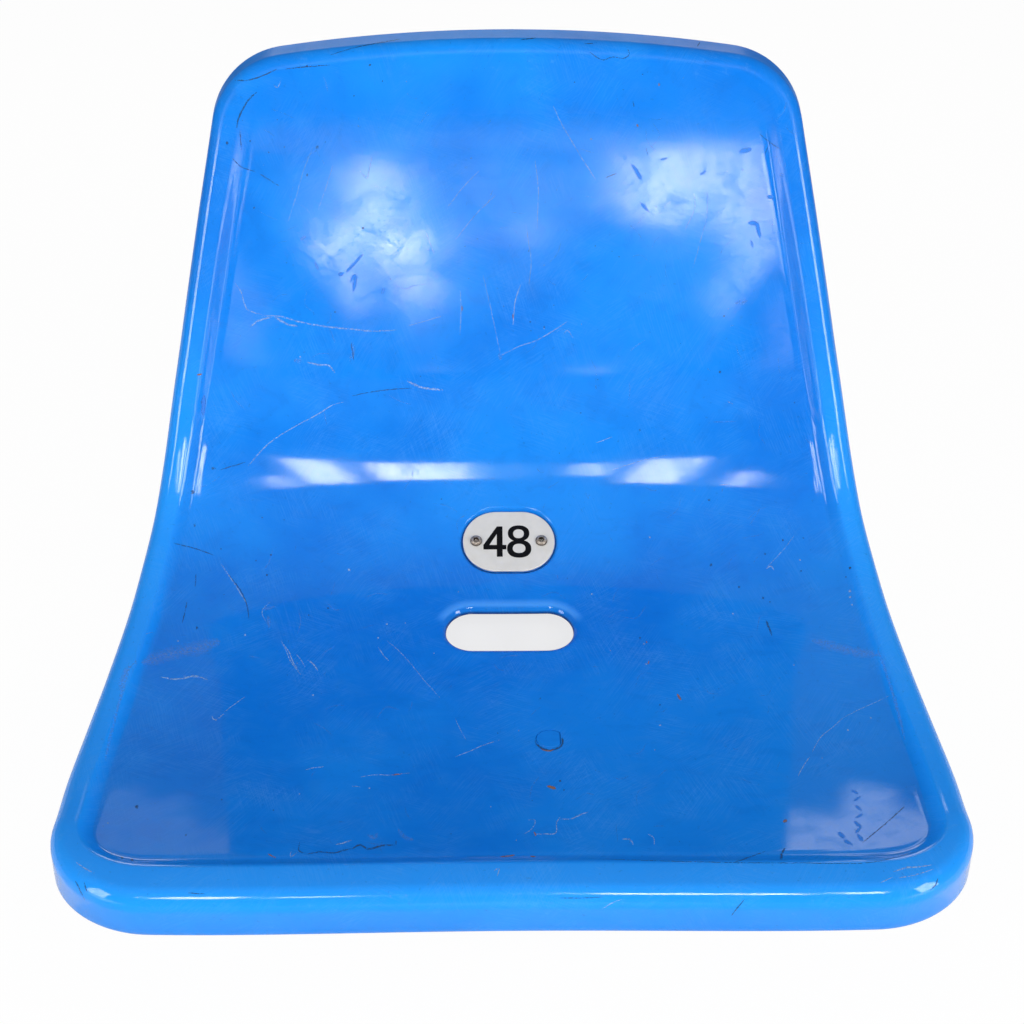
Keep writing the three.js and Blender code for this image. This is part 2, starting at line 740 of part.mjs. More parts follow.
function bracketGeometry(x) {
  const strip = extrudeBetween(bracketOutline(), -bracketWidth / 2, bracketWidth / 2, bendSegments);
  strip.rotateX(quarterTurn).rotateZ(quarterTurn).translate(x, 0, floorLevel);
  let solid = toSolid(strip);
  const footMiddle = bracketTopMargin + bracketFootLength / 2 + bracketBendRadius / 2;
  const anchor = extrudeBetween(stadiumShape(anchorSlotLength, anchorSlotWidth), -overrun, overrun);
  anchor.rotateZ(quarterTurn);
  [frontBossPlace - footMiddle, rearBossPlace + footMiddle].forEach((y) => {
    solid = solid.subtract(toSolid(anchor.clone().translate(x, y, floorLevel)));
  });
  const boltHole = boltRadius + 2 * fitGap;
  [frontBossPlace, rearBossPlace].forEach((y) => {
    const hole = cylinderBetween(boltHole, bracketUnderside - overrun, bracketTop + overrun);
    solid = solid.subtract(toSolid(hole.translate(x, y, 0)));
  });
  return toGeometry(solid);
}

addPiece('seat_shell', toGeometry(shellSolid()), shellBlue);
addPiece('number_plate', plateGeometry(), plateGrey);
addPiece('plate_rivet_left', rivetGeometry(-rivetPitch / 2), rivetAluminium);
addPiece('plate_rivet_right', rivetGeometry(rivetPitch / 2), rivetAluminium);
addPiece('rivet_mandrel_left', mandrelGeometry(-rivetPitch / 2, leftMandrelDepth), darkSteel);
addPiece('rivet_mandrel_right', mandrelGeometry(rivetPitch / 2, rightMandrelDepth), darkSteel);
addPiece('pan_plug', plugGeometry(), shellBlue);
bossPlaces.forEach(([place, x, y]) => {
  addPiece(`threaded_insert_${place}`, insertGeometry(x, y), insertBrass);
  addPiece(`bolt_${place}`, boltGeometry(x, y), zincSteel);
  addPiece(`flat_washer_${place}`, washerGeometry(x, y), zincSteel);
  addPiece(`spring_washer_${place}`, springWasherGeometry(x, y), zincSteel);
});
addPiece('bracket_left', bracketGeometry(-bossSpacing / 2), galvanised);
addPiece('bracket_right', bracketGeometry(bossSpacing / 2), galvanised);

// The origin is the middle of the bounding box, on the floor
const bounds = new THREE.Box3().setFromObject(seat);
const middle = bounds.getCenter(new THREE.Vector3());
seat.children.forEach((mesh) => mesh.geometry.translate(-middle.x, -middle.y, -bounds.min.z));

export default seat;
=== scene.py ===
# The looks of a worn blue stadium seat: shell, number plate, rivets, plug and fixings.
import math
import random

import bpy
import numpy as np
from mathutils import Matrix, Vector
from mathutils.bvhtree import BVHTree
from mathutils.geometry import delaunay_2d_cdt


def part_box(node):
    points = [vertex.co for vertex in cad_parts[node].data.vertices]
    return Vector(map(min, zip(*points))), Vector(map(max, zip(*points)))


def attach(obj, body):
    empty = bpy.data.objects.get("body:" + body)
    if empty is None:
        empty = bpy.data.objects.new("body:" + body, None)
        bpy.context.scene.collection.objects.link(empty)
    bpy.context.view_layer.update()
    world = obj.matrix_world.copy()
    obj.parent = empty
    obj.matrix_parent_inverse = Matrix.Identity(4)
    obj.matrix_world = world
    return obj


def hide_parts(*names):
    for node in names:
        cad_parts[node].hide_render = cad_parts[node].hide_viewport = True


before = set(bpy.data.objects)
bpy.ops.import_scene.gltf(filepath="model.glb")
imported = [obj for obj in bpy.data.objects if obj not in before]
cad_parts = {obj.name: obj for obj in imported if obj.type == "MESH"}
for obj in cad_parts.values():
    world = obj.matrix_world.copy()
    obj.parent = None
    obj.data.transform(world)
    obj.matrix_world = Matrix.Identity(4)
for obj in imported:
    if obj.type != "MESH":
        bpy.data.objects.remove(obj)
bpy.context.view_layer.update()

MM = 0.001
TAU = 2 * math.pi

# Shell sizes in millimetres, as in the part's source
SHELL_WIDTH = 437
PROFILE_LENGTH = 547
WALL = 4
DISH_HEIGHT = 25
FRONT_OVERHANG = 21.6
FRONT_CORNER_RADIUS = 50
FRONT_EDGE_SAG = 3.8
TOP_EDGE_STATION = 532.4
TOP_CORNER_RADIUS = 34
TOP_EDGE_CROWN = 6.7
SIDE_RIM_WIDTH = 22
FRONT_RIM_WIDTH = 29
SIDE_BAND_WIDTH = 4
FRONT_BAND_WIDTH = 10
ROLL_RADIUS = 8.5
SIDE_LIP_HEIGHT = 5.5
FRONT_LIP_HEIGHT = 4
TOP_LIP_HEIGHT = 0.3
FRONT_FLANGE_DEPTH = 31
SIDE_FLANGE_DEPTH = 28
BACK_FLANGE_DEPTH = 22
FRONT_FLANGE_LEAN = 4.5
SIDE_FLANGE_DRAFT = 1.5
EDGE_ROUND = 1.1
SLOT_LENGTH = 70
SLOT_WIDTH = 29.5
SLOT_STATION = 185
SLOT_LIP_RADIUS = 4.5
SLOT_SKIRT = 0.8
PLATE_LENGTH = 52.4
PLATE_WIDTH = 38
PLATE_THICKNESS = 1.5
PLATE_STATION = 246
RECESS_DEPTH = 0.8
RIVET_INSET = 7.6
RIVET_HEAD_HEIGHT = 1.5
RIVET_SHANK_RADIUS = 1.6
RIVET_BULB_LENGTH = 4
LEFT_MANDREL_DEPTH = 0.5
# The plate's face is whole here, so the dropped mandrel stops just above it
RIGHT_MANDREL_DEPTH = 1.72
PLUG_DIAMETER = 13.7
PLUG_FLAT_INSET = 1.6
PLUG_STATION = 98.8
PLUG_OFFSET = 19.5
PLUG_COLLAR_OVERLAP = 2
PLUG_COLLAR_THICKNESS = 1.4
PLUG_SEAT_DEPTH = 0.2
BOSS_SPACING = 190
FRONT_BOSS_PLACE = 80
REAR_BOSS_PLACE = 225
BOSS_RADIUS = 10
BOSS_DROP = 6.5
INSERT_RADIUS = 6
INSERT_LENGTH = 10
INSERT_FLANGE_RADIUS = 7.4
INSERT_FLANGE_THICKNESS = 1.2
RIB_THICKNESS = 3
RIB_DROP = 6
RIB_REACH = 52
FIT_GAP = 0.3

# Shares of the profile's length, then the values there
HEADING_DEGREES = (
    [0, 0.082, 0.174, 0.256, 0.331, 0.393, 0.45, 0.525, 0.603, 0.731, 0.859, 1],
    [-13.7, -10.1, -6.5, -1.6, 2.9, 11.4, 23.5, 49.3, 70, 77.8, 79, 79.1],
)
RIM_HEADING_DEGREES = (
    [0, 0.256, 0.347, 0.45, 0.525, 0.603, 0.731, 1],
    [0, 0, 6, 24, 46, 66, 76, 79],
)
WIDTH_SHARES = (
    [0, 0.055, 0.11, 0.183, 0.256, 0.331, 0.393, 0.45, 0.525, 0.603, 0.695, 0.804, 0.896, 1],
    [0.994, 0.991, 0.993, 0.984, 0.967, 0.946, 0.93, 0.913, 0.892, 0.868, 0.825, 0.769, 0.718, 0.66],
)
DISH_SHARES = (
    [0, 0.174, 0.331, 0.45, 0.525, 0.603, 0.804, 1],
    [0.12, 0.28, 0.6, 0.88, 1, 0.84, 0.48, 0.36],
)
LIP_SHARES = (
    [0, 0.25, 0.45, 0.6, 0.75, 0.9, 1],
    [0.75, 0.7, 1, 1, 0.85, 0.45, 0.3],
)
DISH_POWER = 2.2
CORNER_PULL = 0.55
# Lip section from the foot of the fillet to the crest: inset and drop as shares
LIP_INSETS = [1, 0.87, 0.74, 0.59, 0.44, 0.31, 0.18, 0.08, 0]
LIP_DROPS = [1, 0.965, 0.89, 0.71, 0.5, 0.29, 0.12, 0.03, 0]

# Counts of points and rings
FRONT_EDGE_STEPS = 48
FRONT_CORNER_STEPS = 26
SIDE_STEPS = 130
TOP_CORNER_STEPS = 20
TOP_EDGE_STEPS = 32
PROFILE_STEPS = 4000
PAN_RINGS = 72
PAN_RING_POWER = 1.12
LIP_RINGS = 24
ROLL_RINGS = 14
FLANGE_RINGS = 8
EDGE_RINGS = 4
SLOT_LIP_RINGS = 9
# Share of its rounding across and up at each ring of the slot's lower edge
SLOT_LOWER_EDGE = ((1, 0), (0.3, 0.3), (0, 1))
# How worn the lower edge of the flange is outside and inside, and the wall inside
LOWER_EDGE_WEAR = 0.7
INNER_EDGE_WEAR = 0.6
INNER_WALL_WEAR = 0.3

HALF_WIDTH = SHELL_WIDTH / 2
ROLL_CORE = ROLL_RADIUS - WALL
SLOT_BOTTOM = -(SLOT_LIP_RADIUS + SLOT_SKIRT)


# Centre profile and seating surface
def read_table(stations, values, at):
    """Smooth curve through a table of values, with its slopes taken from its neighbours."""
    stations = np.asarray(stations, float)
    values = np.asarray(values, float)
    gaps = np.diff(stations)
    secants = np.diff(values) / gaps
    inner = (secants[1:] * gaps[:-1] + secants[:-1] * gaps[1:]) / (gaps[1:] + gaps[:-1])
    slopes = np.concatenate([secants[:1], inner, secants[-1:]])
    t = np.clip(at, stations[0], stations[-1])
    k = np.clip(np.searchsorted(stations, t) - 1, 0, len(gaps) - 1)
    u = (t - stations[k]) / gaps[k]
    rise = u * u * (3 - 2 * u)
    start_pull = u * (1 - u) ** 2 * gaps[k] * slopes[k]
    end_pull = u * u * (1 - u) * gaps[k] * slopes[k + 1]
    return values[k] * (1 - rise) + values[k + 1] * rise + start_pull - end_pull


def share_at(table, s):
    """The value of one of the profile's tables at a station."""
    return read_table(*table, s / PROFILE_LENGTH)


def heading_at(s):
    return np.radians(share_at(HEADING_DEGREES, s))


def half_width_at(s):
    return HALF_WIDTH * share_at(WIDTH_SHARES, s)


def trace_profile():
    """Stations of the centre profile with their y and z."""
    stations = np.linspace(-FRONT_OVERHANG, PROFILE_LENGTH, PROFILE_STEPS + 1)
    step = stations[1] - stations[0]
    heading = heading_at(stations[:-1] + step / 2)
    y = np.concatenate([[0], np.cumsum(np.cos(heading) * step)]) - FRONT_OVERHANG
    z = np.concatenate([[0], np.cumsum(np.sin(heading) * step)])
    return stations, y, z


PROFILE_S, PROFILE_Y, PROFILE_Z = trace_profile()


def surface_point(x, s, lift=0.0):
    """Points of the seating surface, lifted along the profile normal."""
    x, s, lift = np.broadcast_arrays(np.asarray(x, float), s, lift)
    heading = heading_at(s)
    reach = np.minimum(np.abs(x) / (half_width_at(s) - SIDE_RIM_WIDTH), 1)
    rise = DISH_HEIGHT * share_at(DISH_SHARES, s) * reach ** DISH_POWER + lift
    y = np.interp(s, PROFILE_S, PROFILE_Y) - np.sin(heading) * rise
    z = np.interp(s, PROFILE_S, PROFILE_Z) + np.cos(heading) * rise
    return np.stack([x, y, z], axis=-1)


PAN_BOTTOM = float(surface_point(0, SLOT_STATION, -WALL)[2])
BOSS_BOTTOM = PAN_BOTTOM - BOSS_DROP
bolt_low, bolt_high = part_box("bolt_front_left")
insert_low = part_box("threaded_insert_front_left")[0]
SHIFT = np.array([
    0,
    (bolt_low.y + bolt_high.y) / 2 / MM - FRONT_BOSS_PLACE,
    insert_low.z / MM - BOSS_BOTTOM,
])


# Outline of the shell in the developed plane
def half_outline():
    corner_start = half_width_at(FRONT_CORNER_RADIUS - FRONT_OVERHANG) - FRONT_CORNER_RADIUS
    u = np.arange(FRONT_EDGE_STEPS) / FRONT_EDGE_STEPS
    front = np.stack([corner_start * u, FRONT_EDGE_SAG * (1 - u * u) ** 2 - FRONT_OVERHANG], 1)
    angle = np.arange(FRONT_CORNER_STEPS) / FRONT_CORNER_STEPS * TAU / 4
    corner_x = corner_start + FRONT_CORNER_RADIUS * np.sin(angle)
    corner_s = FRONT_CORNER_RADIUS * (1 - np.cos(angle)) - FRONT_OVERHANG
    front_corner = np.stack([corner_x, corner_s], 1)
    side_start = FRONT_CORNER_RADIUS - FRONT_OVERHANG
    side_end = TOP_EDGE_STATION - TOP_EDGE_CROWN - TOP_CORNER_RADIUS
    side_s = side_start + (side_end - side_start) * np.arange(SIDE_STEPS) / SIDE_STEPS
    side = np.stack([half_width_at(side_s), side_s], 1)
    top = side_end + TOP_CORNER_RADIUS
    end_width = half_width_at(side_end)
    taper = (end_width - half_width_at(top)) / TOP_CORNER_RADIUS
    top_half = end_width - TOP_CORNER_RADIUS * (1 + taper / 2)
    pull = TOP_CORNER_RADIUS * CORNER_PULL
    controls = np.array([
        [end_width, side_end],
        [end_width - taper * pull, side_end + pull],
        [top_half + pull, top - 2 * TOP_EDGE_CROWN * pull / top_half],
        [top_half, top],
    ])
    t = (np.arange(TOP_CORNER_STEPS) / TOP_CORNER_STEPS)[:, None]
    weights = [(1 - t) ** 3, 3 * t * (1 - t) ** 2, 3 * t * t * (1 - t), t ** 3]
    top_corner = sum(w * c for w, c in zip(weights, controls))
    u = 1 - np.arange(TOP_EDGE_STEPS + 1) / TOP_EDGE_STEPS
    top_edge = np.stack([top_half * u, top + TOP_EDGE_CROWN * (1 - u * u)], 1)
    return np.concatenate([front, front_corner, side, top_corner, top_edge])


def closed_outline():
    half = half_outline()
    return np.concatenate([half, half[-2:0:-1] * [-1, 1]])


OUTLINE = closed_outline()
COLUMNS = len(OUTLINE)


def outward_normals(outline):
    along = np.roll(outline, -1, 0) - np.roll(outline, 1, 0)
    normals = np.stack([along[:, 1], -along[:, 0]], 1)
    return normals / np.linalg.norm(normals, axis=1, keepdims=True)


def mix(a, b, weight):
    return a + (b - a) * weight


def smooth_share(value, low, high):
    t = np.clip((value - low) / (high - low), 0, 1)
    return t * t * (3 - 2 * t)


class Rim:
    """Everything the rim section needs at every place of the outline."""

    def __init__(self):
        normal = outward_normals(OUTLINE)
        station = OUTLINE[:, 1]
        self.front = np.where(station < SLOT_STATION, np.maximum(-normal[:, 1], 0) ** 2, 0)
        self.top = np.where(station > SLOT_STATION, np.maximum(normal[:, 1], 0) ** 2, 0)
        back = smooth_share(station, SLOT_STATION, PLATE_STATION + SLOT_STATION)
        self.normal = normal
        self.width = mix(SIDE_RIM_WIDTH, FRONT_RIM_WIDTH, self.front)
        self.crest = ROLL_RADIUS + mix(SIDE_BAND_WIDTH, FRONT_BAND_WIDTH, self.front)
        side_lip = mix(SIDE_LIP_HEIGHT * share_at(LIP_SHARES, station), FRONT_LIP_HEIGHT, self.front)
        self.lip = mix(side_lip, TOP_LIP_HEIGHT, self.top)
        side_depth = mix(SIDE_FLANGE_DEPTH, BACK_FLANGE_DEPTH, back)
        self.depth = mix(side_depth, FRONT_FLANGE_DEPTH, self.front)
        self.draft = mix(SIDE_FLANGE_DRAFT, -FRONT_FLANGE_LEAN, self.front)
        self.foot = OUTLINE - normal * self.width[:, None]
        heading = np.radians(share_at(RIM_HEADING_DEGREES, self.foot[:, 1]))
        self.base = surface_point(*self.foot.T)
        across, along = normal.T
        self.outward = np.stack([across, along * np.cos(heading), along * np.sin(heading)], 1)
        self.up = np.stack([heading * 0, -np.sin(heading), np.cos(heading)], 1)

    def point(self, inset, height):
        """Points of the rim, by their inset from the outline and height over the crest."""
        out = (self.width - inset)[:, None] * self.outward
        return self.base + out + (self.lip + height)[:, None] * self.up


RIM = Rim()


def slot_edges():
    """The slot's edge point and its normal, seen from the slot's centre towards each foot."""
    end = SLOT_WIDTH / 2
    straight = SLOT_LENGTH / 2 - end
    away = RIM.foot - [0, SLOT_STATION]
    away = away / np.linalg.norm(away, axis=1, keepdims=True)
    ux, us = away.T
    flat = np.abs(ux) * end <= straight * np.abs(us)
    safe = np.where(flat, np.abs(us), 1)
    along = np.abs(ux) * straight
    reach = along + np.sqrt(np.maximum(along ** 2 - straight ** 2 + end ** 2, 0))
    point = away * np.where(flat, end / safe, reach)[:, None]
    centre = np.stack([np.sign(ux) * straight, ux * 0], 1)
    normal = np.where(flat[:, None], np.stack([us * 0, np.sign(us)], 1), (point - centre) / end)
    return point, normal


SLOT_POINT, SLOT_NORMAL = slot_edges()


class Rings:
    """Rings of points from the slot over the pan, round the rim and back underneath."""

    def __init__(self):
        self.points = []
        self.developed = []
        self.edge = []

    def add(self, points, developed, edge=0.0):
        self.points.append(points)
        self.developed.append(developed)
        self.edge.append(np.broadcast_to(np.asarray(edge, float), (COLUMNS,)))

    def slot(self, outset, lift):
        flat = SLOT_POINT + SLOT_NORMAL * outset + [0, SLOT_STATION]
        self.add(surface_point(*flat.T, lift), flat)

    def pan(self, part, lift):
        start = SLOT_POINT + SLOT_NORMAL * SLOT_LIP_RADIUS + [0, SLOT_STATION]
        flat = mix(start, RIM.foot, part)
        self.add(surface_point(*flat.T, lift), flat)

    def rim(self, inset, height, travel, edge):
        developed = RIM.foot + RIM.normal * (RIM.width - RIM.crest + travel)[:, None]
        self.add(RIM.point(inset, height), developed, edge)

    def lip(self, part, inward, down):
        steps = np.linspace(0, 1, len(LIP_INSETS))
        inset_share = float(read_table(steps, LIP_INSETS, part))
        drop_share = float(read_table(steps, LIP_DROPS, part))
        beyond = (RIM.width - RIM.crest) * inset_share
        self.rim(RIM.crest + beyond + inward, -RIM.lip * drop_share - down, -beyond, 1 - drop_share)

    def roll(self, radius, angle):
        inset = ROLL_RADIUS - radius * math.sin(angle) + RIM.width * 0
        height = radius * (math.cos(angle) - 1) + radius - ROLL_RADIUS
        self.rim(inset, height, RIM.crest - ROLL_RADIUS + radius * angle, 1)

    def flange(self, outset, height, fade):
        """Below the roll: outset from the outline and height under the crest."""
        travel = RIM.crest + ROLL_RADIUS * (TAU / 4 - 2) - height
        self.rim(-outset, height, travel, fade)

    def wall(self, part, inward, fade):
        """A ring of the flange's wall, part of the way down."""
        drop = RIM.depth - ROLL_RADIUS
        down = (drop - EDGE_ROUND) * part
        self.flange(RIM.draft * down / drop - inward, -ROLL_RADIUS - down, fade)

    def lower_edge(self, angle, inward, fade):
        """A ring of the flange's rounded lower edge."""
        down = EDGE_ROUND * (1 - math.sin(angle)) - RIM.depth
        self.flange(RIM.draft - inward + EDGE_ROUND * math.cos(angle), down, fade)


def pan_parts():
    return (np.arange(PAN_RINGS + 1) / PAN_RINGS) ** PAN_RING_POWER


def build_rings():
    rings = Rings()
    for across, up in SLOT_LOWER_EDGE:
        rings.slot(EDGE_ROUND * across, SLOT_BOTTOM + EDGE_ROUND * up)
    for angle in np.linspace(TAU / 4, 0, SLOT_LIP_RINGS):
        rings.slot(SLOT_LIP_RADIUS * (1 - math.sin(angle)), SLOT_LIP_RADIUS * (math.cos(angle) - 1))
    first_pan = len(rings.points) - 1
    for part in pan_parts()[1:-1]:
        rings.pan(part, 0)
    for part in np.linspace(0, 1, LIP_RINGS + 1):
        rings.lip(part, 0, 0)
    rings.rim((RIM.crest + ROLL_RADIUS) / 2, RIM.lip * 0, (RIM.crest - ROLL_RADIUS) / 2, 1)
    for angle in np.linspace(0, TAU / 4, ROLL_RINGS + 1):
        rings.roll(ROLL_RADIUS, angle)
    for part in np.linspace(0, 1, FLANGE_RINGS + 1)[1:]:
        rings.wall(part, 0, 1 - part / 2)
    for angle in np.linspace(0, TAU / 4, EDGE_RINGS + 1)[1:]:
        rings.lower_edge(angle, EDGE_ROUND, LOWER_EDGE_WEAR)
    for angle in np.linspace(TAU / 4, TAU / 2, EDGE_RINGS + 1):
        rings.lower_edge(angle, WALL - EDGE_ROUND, INNER_EDGE_WEAR)
    for part in np.linspace(1, 0, FLANGE_RINGS // 2)[1:]:
        rings.wall(part, WALL, INNER_WALL_WEAR)
    for angle in np.linspace(TAU / 4, 0, ROLL_RINGS // 2)[1:]:
        rings.roll(ROLL_CORE, angle)
    for part in np.linspace(1, 0, LIP_RINGS // 2 + 1):
        rings.lip(part, WALL / 2, WALL)
    for part in pan_parts()[-2:0:-3]:
        rings.pan(part, -WALL)
    rings.slot(SLOT_LIP_RADIUS, -WALL)
    rings.slot(WALL, SLOT_BOTTOM + EDGE_ROUND)
    rings.slot(WALL - EDGE_ROUND, SLOT_BOTTOM)
    return rings, first_pan


# Frames of the plate and the plug on the surface
class SurfaceFrame:
    """X across the seat, Y up the profile, Z off the surface, at one place of it."""

    def __init__(self, x, s):
        heading = float(heading_at(s))
        rise, run = math.sin(heading), math.cos(heading)
        self.origin = surface_point(x, s)
        self.axes = np.array([[1, 0, 0], [0, run, rise], [0, -rise, run]])

    def world(self, local):
        return self.origin + np.asarray(local, float) @ self.axes

    def local(self, points):
        return (points - self.origin) @ self.axes.T


PLATE_FRAME = SurfaceFrame(0, PLATE_STATION)
PLUG_PLACE = (PLUG_OFFSET, PLUG_STATION)
PLUG_FRAME = SurfaceFrame(*PLUG_PLACE)
PLATE_BOTTOM = FIT_GAP - RECESS_DEPTH
PLATE_TOP = PLATE_BOTTOM + PLATE_THICKNESS
RIVET_PLACES = {"left": RIVET_INSET - PLATE_LENGTH / 2, "right": PLATE_LENGTH / 2 - RIVET_INSET}


def plate_loop(outset):
    """The plate's stadium outline grown by an outset, as points in its own plane."""
    end = PLATE_WIDTH / 2
    straight = PLATE_LENGTH / 2 - end
    radius = end + outset
    turn = np.linspace(-TAU / 4, TAU / 4, STADIUM_STEPS)
    right = np.stack([straight + radius * np.cos(turn), radius * np.sin(turn)], 1)
    left = -right
    across = np.linspace(straight, -straight, STADIUM_STEPS // 3)[1:-1]
    top = np.stack([across, across * 0 + radius], 1)
    return np.concatenate([right, top, left, -top])


def plate_distance(x, y):
    """Distance outside the plate's outline; negative inside."""
    end = PLATE_WIDTH / 2
    beyond = np.maximum(np.abs(x) - (PLATE_LENGTH / 2 - end), 0)
    return np.hypot(beyond, y) - end


def plug_outline(outset):
    """The plug's outline, a circle with one flat on the right, grown by an outset."""
    grown = PLUG_RADIUS + outset
    half = math.acos((PLUG_RADIUS - PLUG_FLAT_INSET + outset) / grown)
    turn = np.linspace(half, TAU - half, PLUG_HOLE_STEPS)
    arc = np.stack([grown * np.cos(turn), grown * np.sin(turn)], 1)
    return np.concatenate([arc, np.linspace(arc[-1], arc[0], PLUG_FLAT_STEPS)[1:-1]])


# Meshes
def make_object(name, points, faces, smooth=True):
    """A mesh object from points in shell millimetres, placed in the frame in metres."""
    mesh = bpy.data.meshes.new(name)
    placed = (np.asarray(points, float) + SHIFT) * MM
    mesh.from_pydata(placed.tolist(), [], [list(map(int, f)) for f in faces])
    mesh.validate()
    if smooth:
        mesh.shade_smooth()
    mesh.update()
    piece = bpy.data.objects.new(name, mesh)
    bpy.context.scene.collection.objects.link(piece)
    return piece


def finish_piece(piece, slot, material, *nodes):
    """Gives the piece its material, hangs it from the root body and hides the CAD nodes it stands for; the
    slot is not used.
    """
    piece.data.materials.clear()
    piece.data.materials.append(material)
    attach(piece, "root")
    if nodes:
        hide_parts(*nodes)


def ring_faces(ring_count, columns, closed_rings=False, skip=()):
    faces = []
    last = ring_count if closed_rings else ring_count - 1
    for j in range(last):
        here = j * columns
        there = (j + 1) % ring_count * columns
        for i in range(columns):
            if any(j0 <= j < j1 and i0 <= i < i1 for i0, i1, j0, j1 in skip):
                continue
            k = (i + 1) % columns
            faces.append((here + i, there + i, there + k, here + k))
    return faces


def loop_edges(start, count):
    """Edges of a closed loop of points that follow each other."""
    return [(start + k, start + (k + 1) % count) for k in range(count)]


def patch_triangles(columns, rows, loops, developed):
    """A block of the ring grid as triangles that follow loops: developed points, faces, grid places."""
    (i0, i1), (j0, j1) = columns, rows
    border = [(i, j0) for i in range(i0, i1)] + [(i1, j) for j in range(j0, j1)]
    border += [(i, j1) for i in range(i1, i0, -1)] + [(i0, j) for j in range(j1, j0, -1)]
    points = [developed[j][i] for i, j in border]
    edges = loop_edges(0, len(border))
    for loop in loops:
        edges += loop_edges(len(points), len(loop))
        points += list(loop)
    ringed = np.concatenate(loops)
    for j in range(j0 + 1, j1):
        for i in range(i0 + 1, i1):
            place = developed[j][i]
            if np.min(np.hypot(*(ringed - place).T)) > PATCH_CLEARANCE:
                points.append(place)
    found = delaunay_2d_cdt([Vector(p) for p in points], edges, [], 1, MERGE_DISTANCE)
    grid_of = {}
    for k, sources in enumerate(found[3]):
        grid_of.update({k: border[source] for source in sources if source < len(border)})
    return np.array([list(v) for v in found[0]]), [list(f) for f in found[2]], grid_of


def plate_plane_to_developed(loop):
    """Points of the plate's plane as developed points of the surface under them."""
    stations = np.linspace(PLATE_STATION - PLATE_REACH, PLATE_STATION + PLATE_REACH, PLATE_REACH_STEPS)
    heights = PLATE_FRAME.local(surface_point(0, stations))[:, 1]
    return np.stack([loop[:, 0], np.interp(loop[:, 1], heights, stations)], 1)


PLATE_REACH = 60
PLATE_REACH_STEPS = 241
STADIUM_STEPS = 60
RECESS_FLOOR_MARGIN = 0.5
RECESS_TOP_MARGIN = 2.3


def recess_point(flat):
    """The surface sunk to a flat floor under the plate, with a sloped wall round it."""
    local = PLATE_FRAME.local(surface_point(*flat.T))
    weight = smooth_share(plate_distance(*local.T[:2]), RECESS_FLOOR_MARGIN, RECESS_TOP_MARGIN)
    local[:, 2] = mix(-RECESS_DEPTH, local[:, 2], weight)
    return PLATE_FRAME.world(local)


PLUG_RADIUS = PLUG_DIAMETER / 2
PLUG_HOLE_STEPS = 72
PLUG_FLAT_STEPS = 9
# Outset and height of each loop of the plug's rounded top edge
PLUG_TOP_EDGE = ((-0.9, 0), (-0.35, 0), (-0.1, -0.08), (0, -0.35))
PLUG_COLLAR_ROUND = 0.3
PLUG_POCKET_DEPTH = 3


def plug_distance(flat):
    """Distance outside the plug's hole, in the developed plane."""
    local = flat - PLUG_PLACE
    hole = PLUG_RADIUS + FIT_GAP
    round_part = np.hypot(*local.T) - hole
    flat_part = local[:, 0] - (PLUG_RADIUS - PLUG_FLAT_INSET + FIT_GAP)
    return np.maximum(round_part, flat_part)


def near_column(x, s):
    """The column of the grid whose outline point is nearest to a developed place."""
    return int(np.argmin(np.hypot(OUTLINE[:, 0] - x, OUTLINE[:, 1] - s)))


def near_ring(first, part):
    return first + int(round(part ** (1 / PAN_RING_POWER) * PAN_RINGS))


PLATE_BLOCK_STATION = 320
PLATE_BLOCK_PARTS = (0.05, 0.25)
PLUG_BLOCK_REACH = (8, 72)
PLUG_BLOCK_PARTS = (0.38, 0.56)
PATCH_CLEARANCE = 1
MERGE_DISTANCE = 1e-6
RECESS_OUTSETS = (0.2, RECESS_FLOOR_MARGIN, 0.8, 1.1, 1.4, 1.7, 2.0, RECESS_TOP_MARGIN, 2.8)
PLUG_OUTSETS = (0, 0.25, 0.8)


def shell_mesh():
    """Points, developed points, wear and faces of the whole shell."""
    rings, first_pan = build_rings()
    developed = np.stack(rings.developed)
    plate_column = near_column(HALF_WIDTH, PLATE_BLOCK_STATION)
    plate_loops = [plate_plane_to_developed(plate_loop(outset)) for outset in RECESS_OUTSETS]
    plug_loops = [plug_outline(FIT_GAP + outset) + PLUG_PLACE for outset in PLUG_OUTSETS]
    plug_columns = tuple(near_column(x, -FRONT_OVERHANG) for x in PLUG_BLOCK_REACH)
    patches = [
        ((plate_column, COLUMNS - plate_column), PLATE_BLOCK_PARTS, plate_loops, recess_point),
        (plug_columns, PLUG_BLOCK_PARTS, plug_loops, None),
    ]
    patches = [
        (columns, tuple(near_ring(first_pan, part) for part in parts), loops, sunk)
        for columns, parts, loops, sunk in patches
    ]
    points = np.concatenate(rings.points)
    flats = developed.reshape(-1, 2)
    wears = np.concatenate(rings.edge)
    faces = ring_faces(len(developed), COLUMNS, True, [columns + rows for columns, rows, _, _ in patches])
    for columns, rows, loops, sunk in patches:
        flat, triangles, grid_of = patch_triangles(columns, rows, loops, developed)
        start = len(points)
        number = [
            grid_of[k][1] * COLUMNS + grid_of[k][0] if k in grid_of else start + k
            for k in range(len(flat))
        ]
        if sunk is None:
            outside = plug_distance(np.array([flat[t].mean(0) for t in triangles])) > 0
            triangles = [t for t, keep in zip(triangles, outside) if keep]
        faces += [tuple(number[k] for k in t) for t in triangles]
        points = np.concatenate([points, surface_point(*flat.T) if sunk is None else sunk(flat)])
        flats = np.concatenate([flats, flat])
        wears = np.concatenate([wears, np.zeros(len(flat))])
    return points, flats, wears, faces


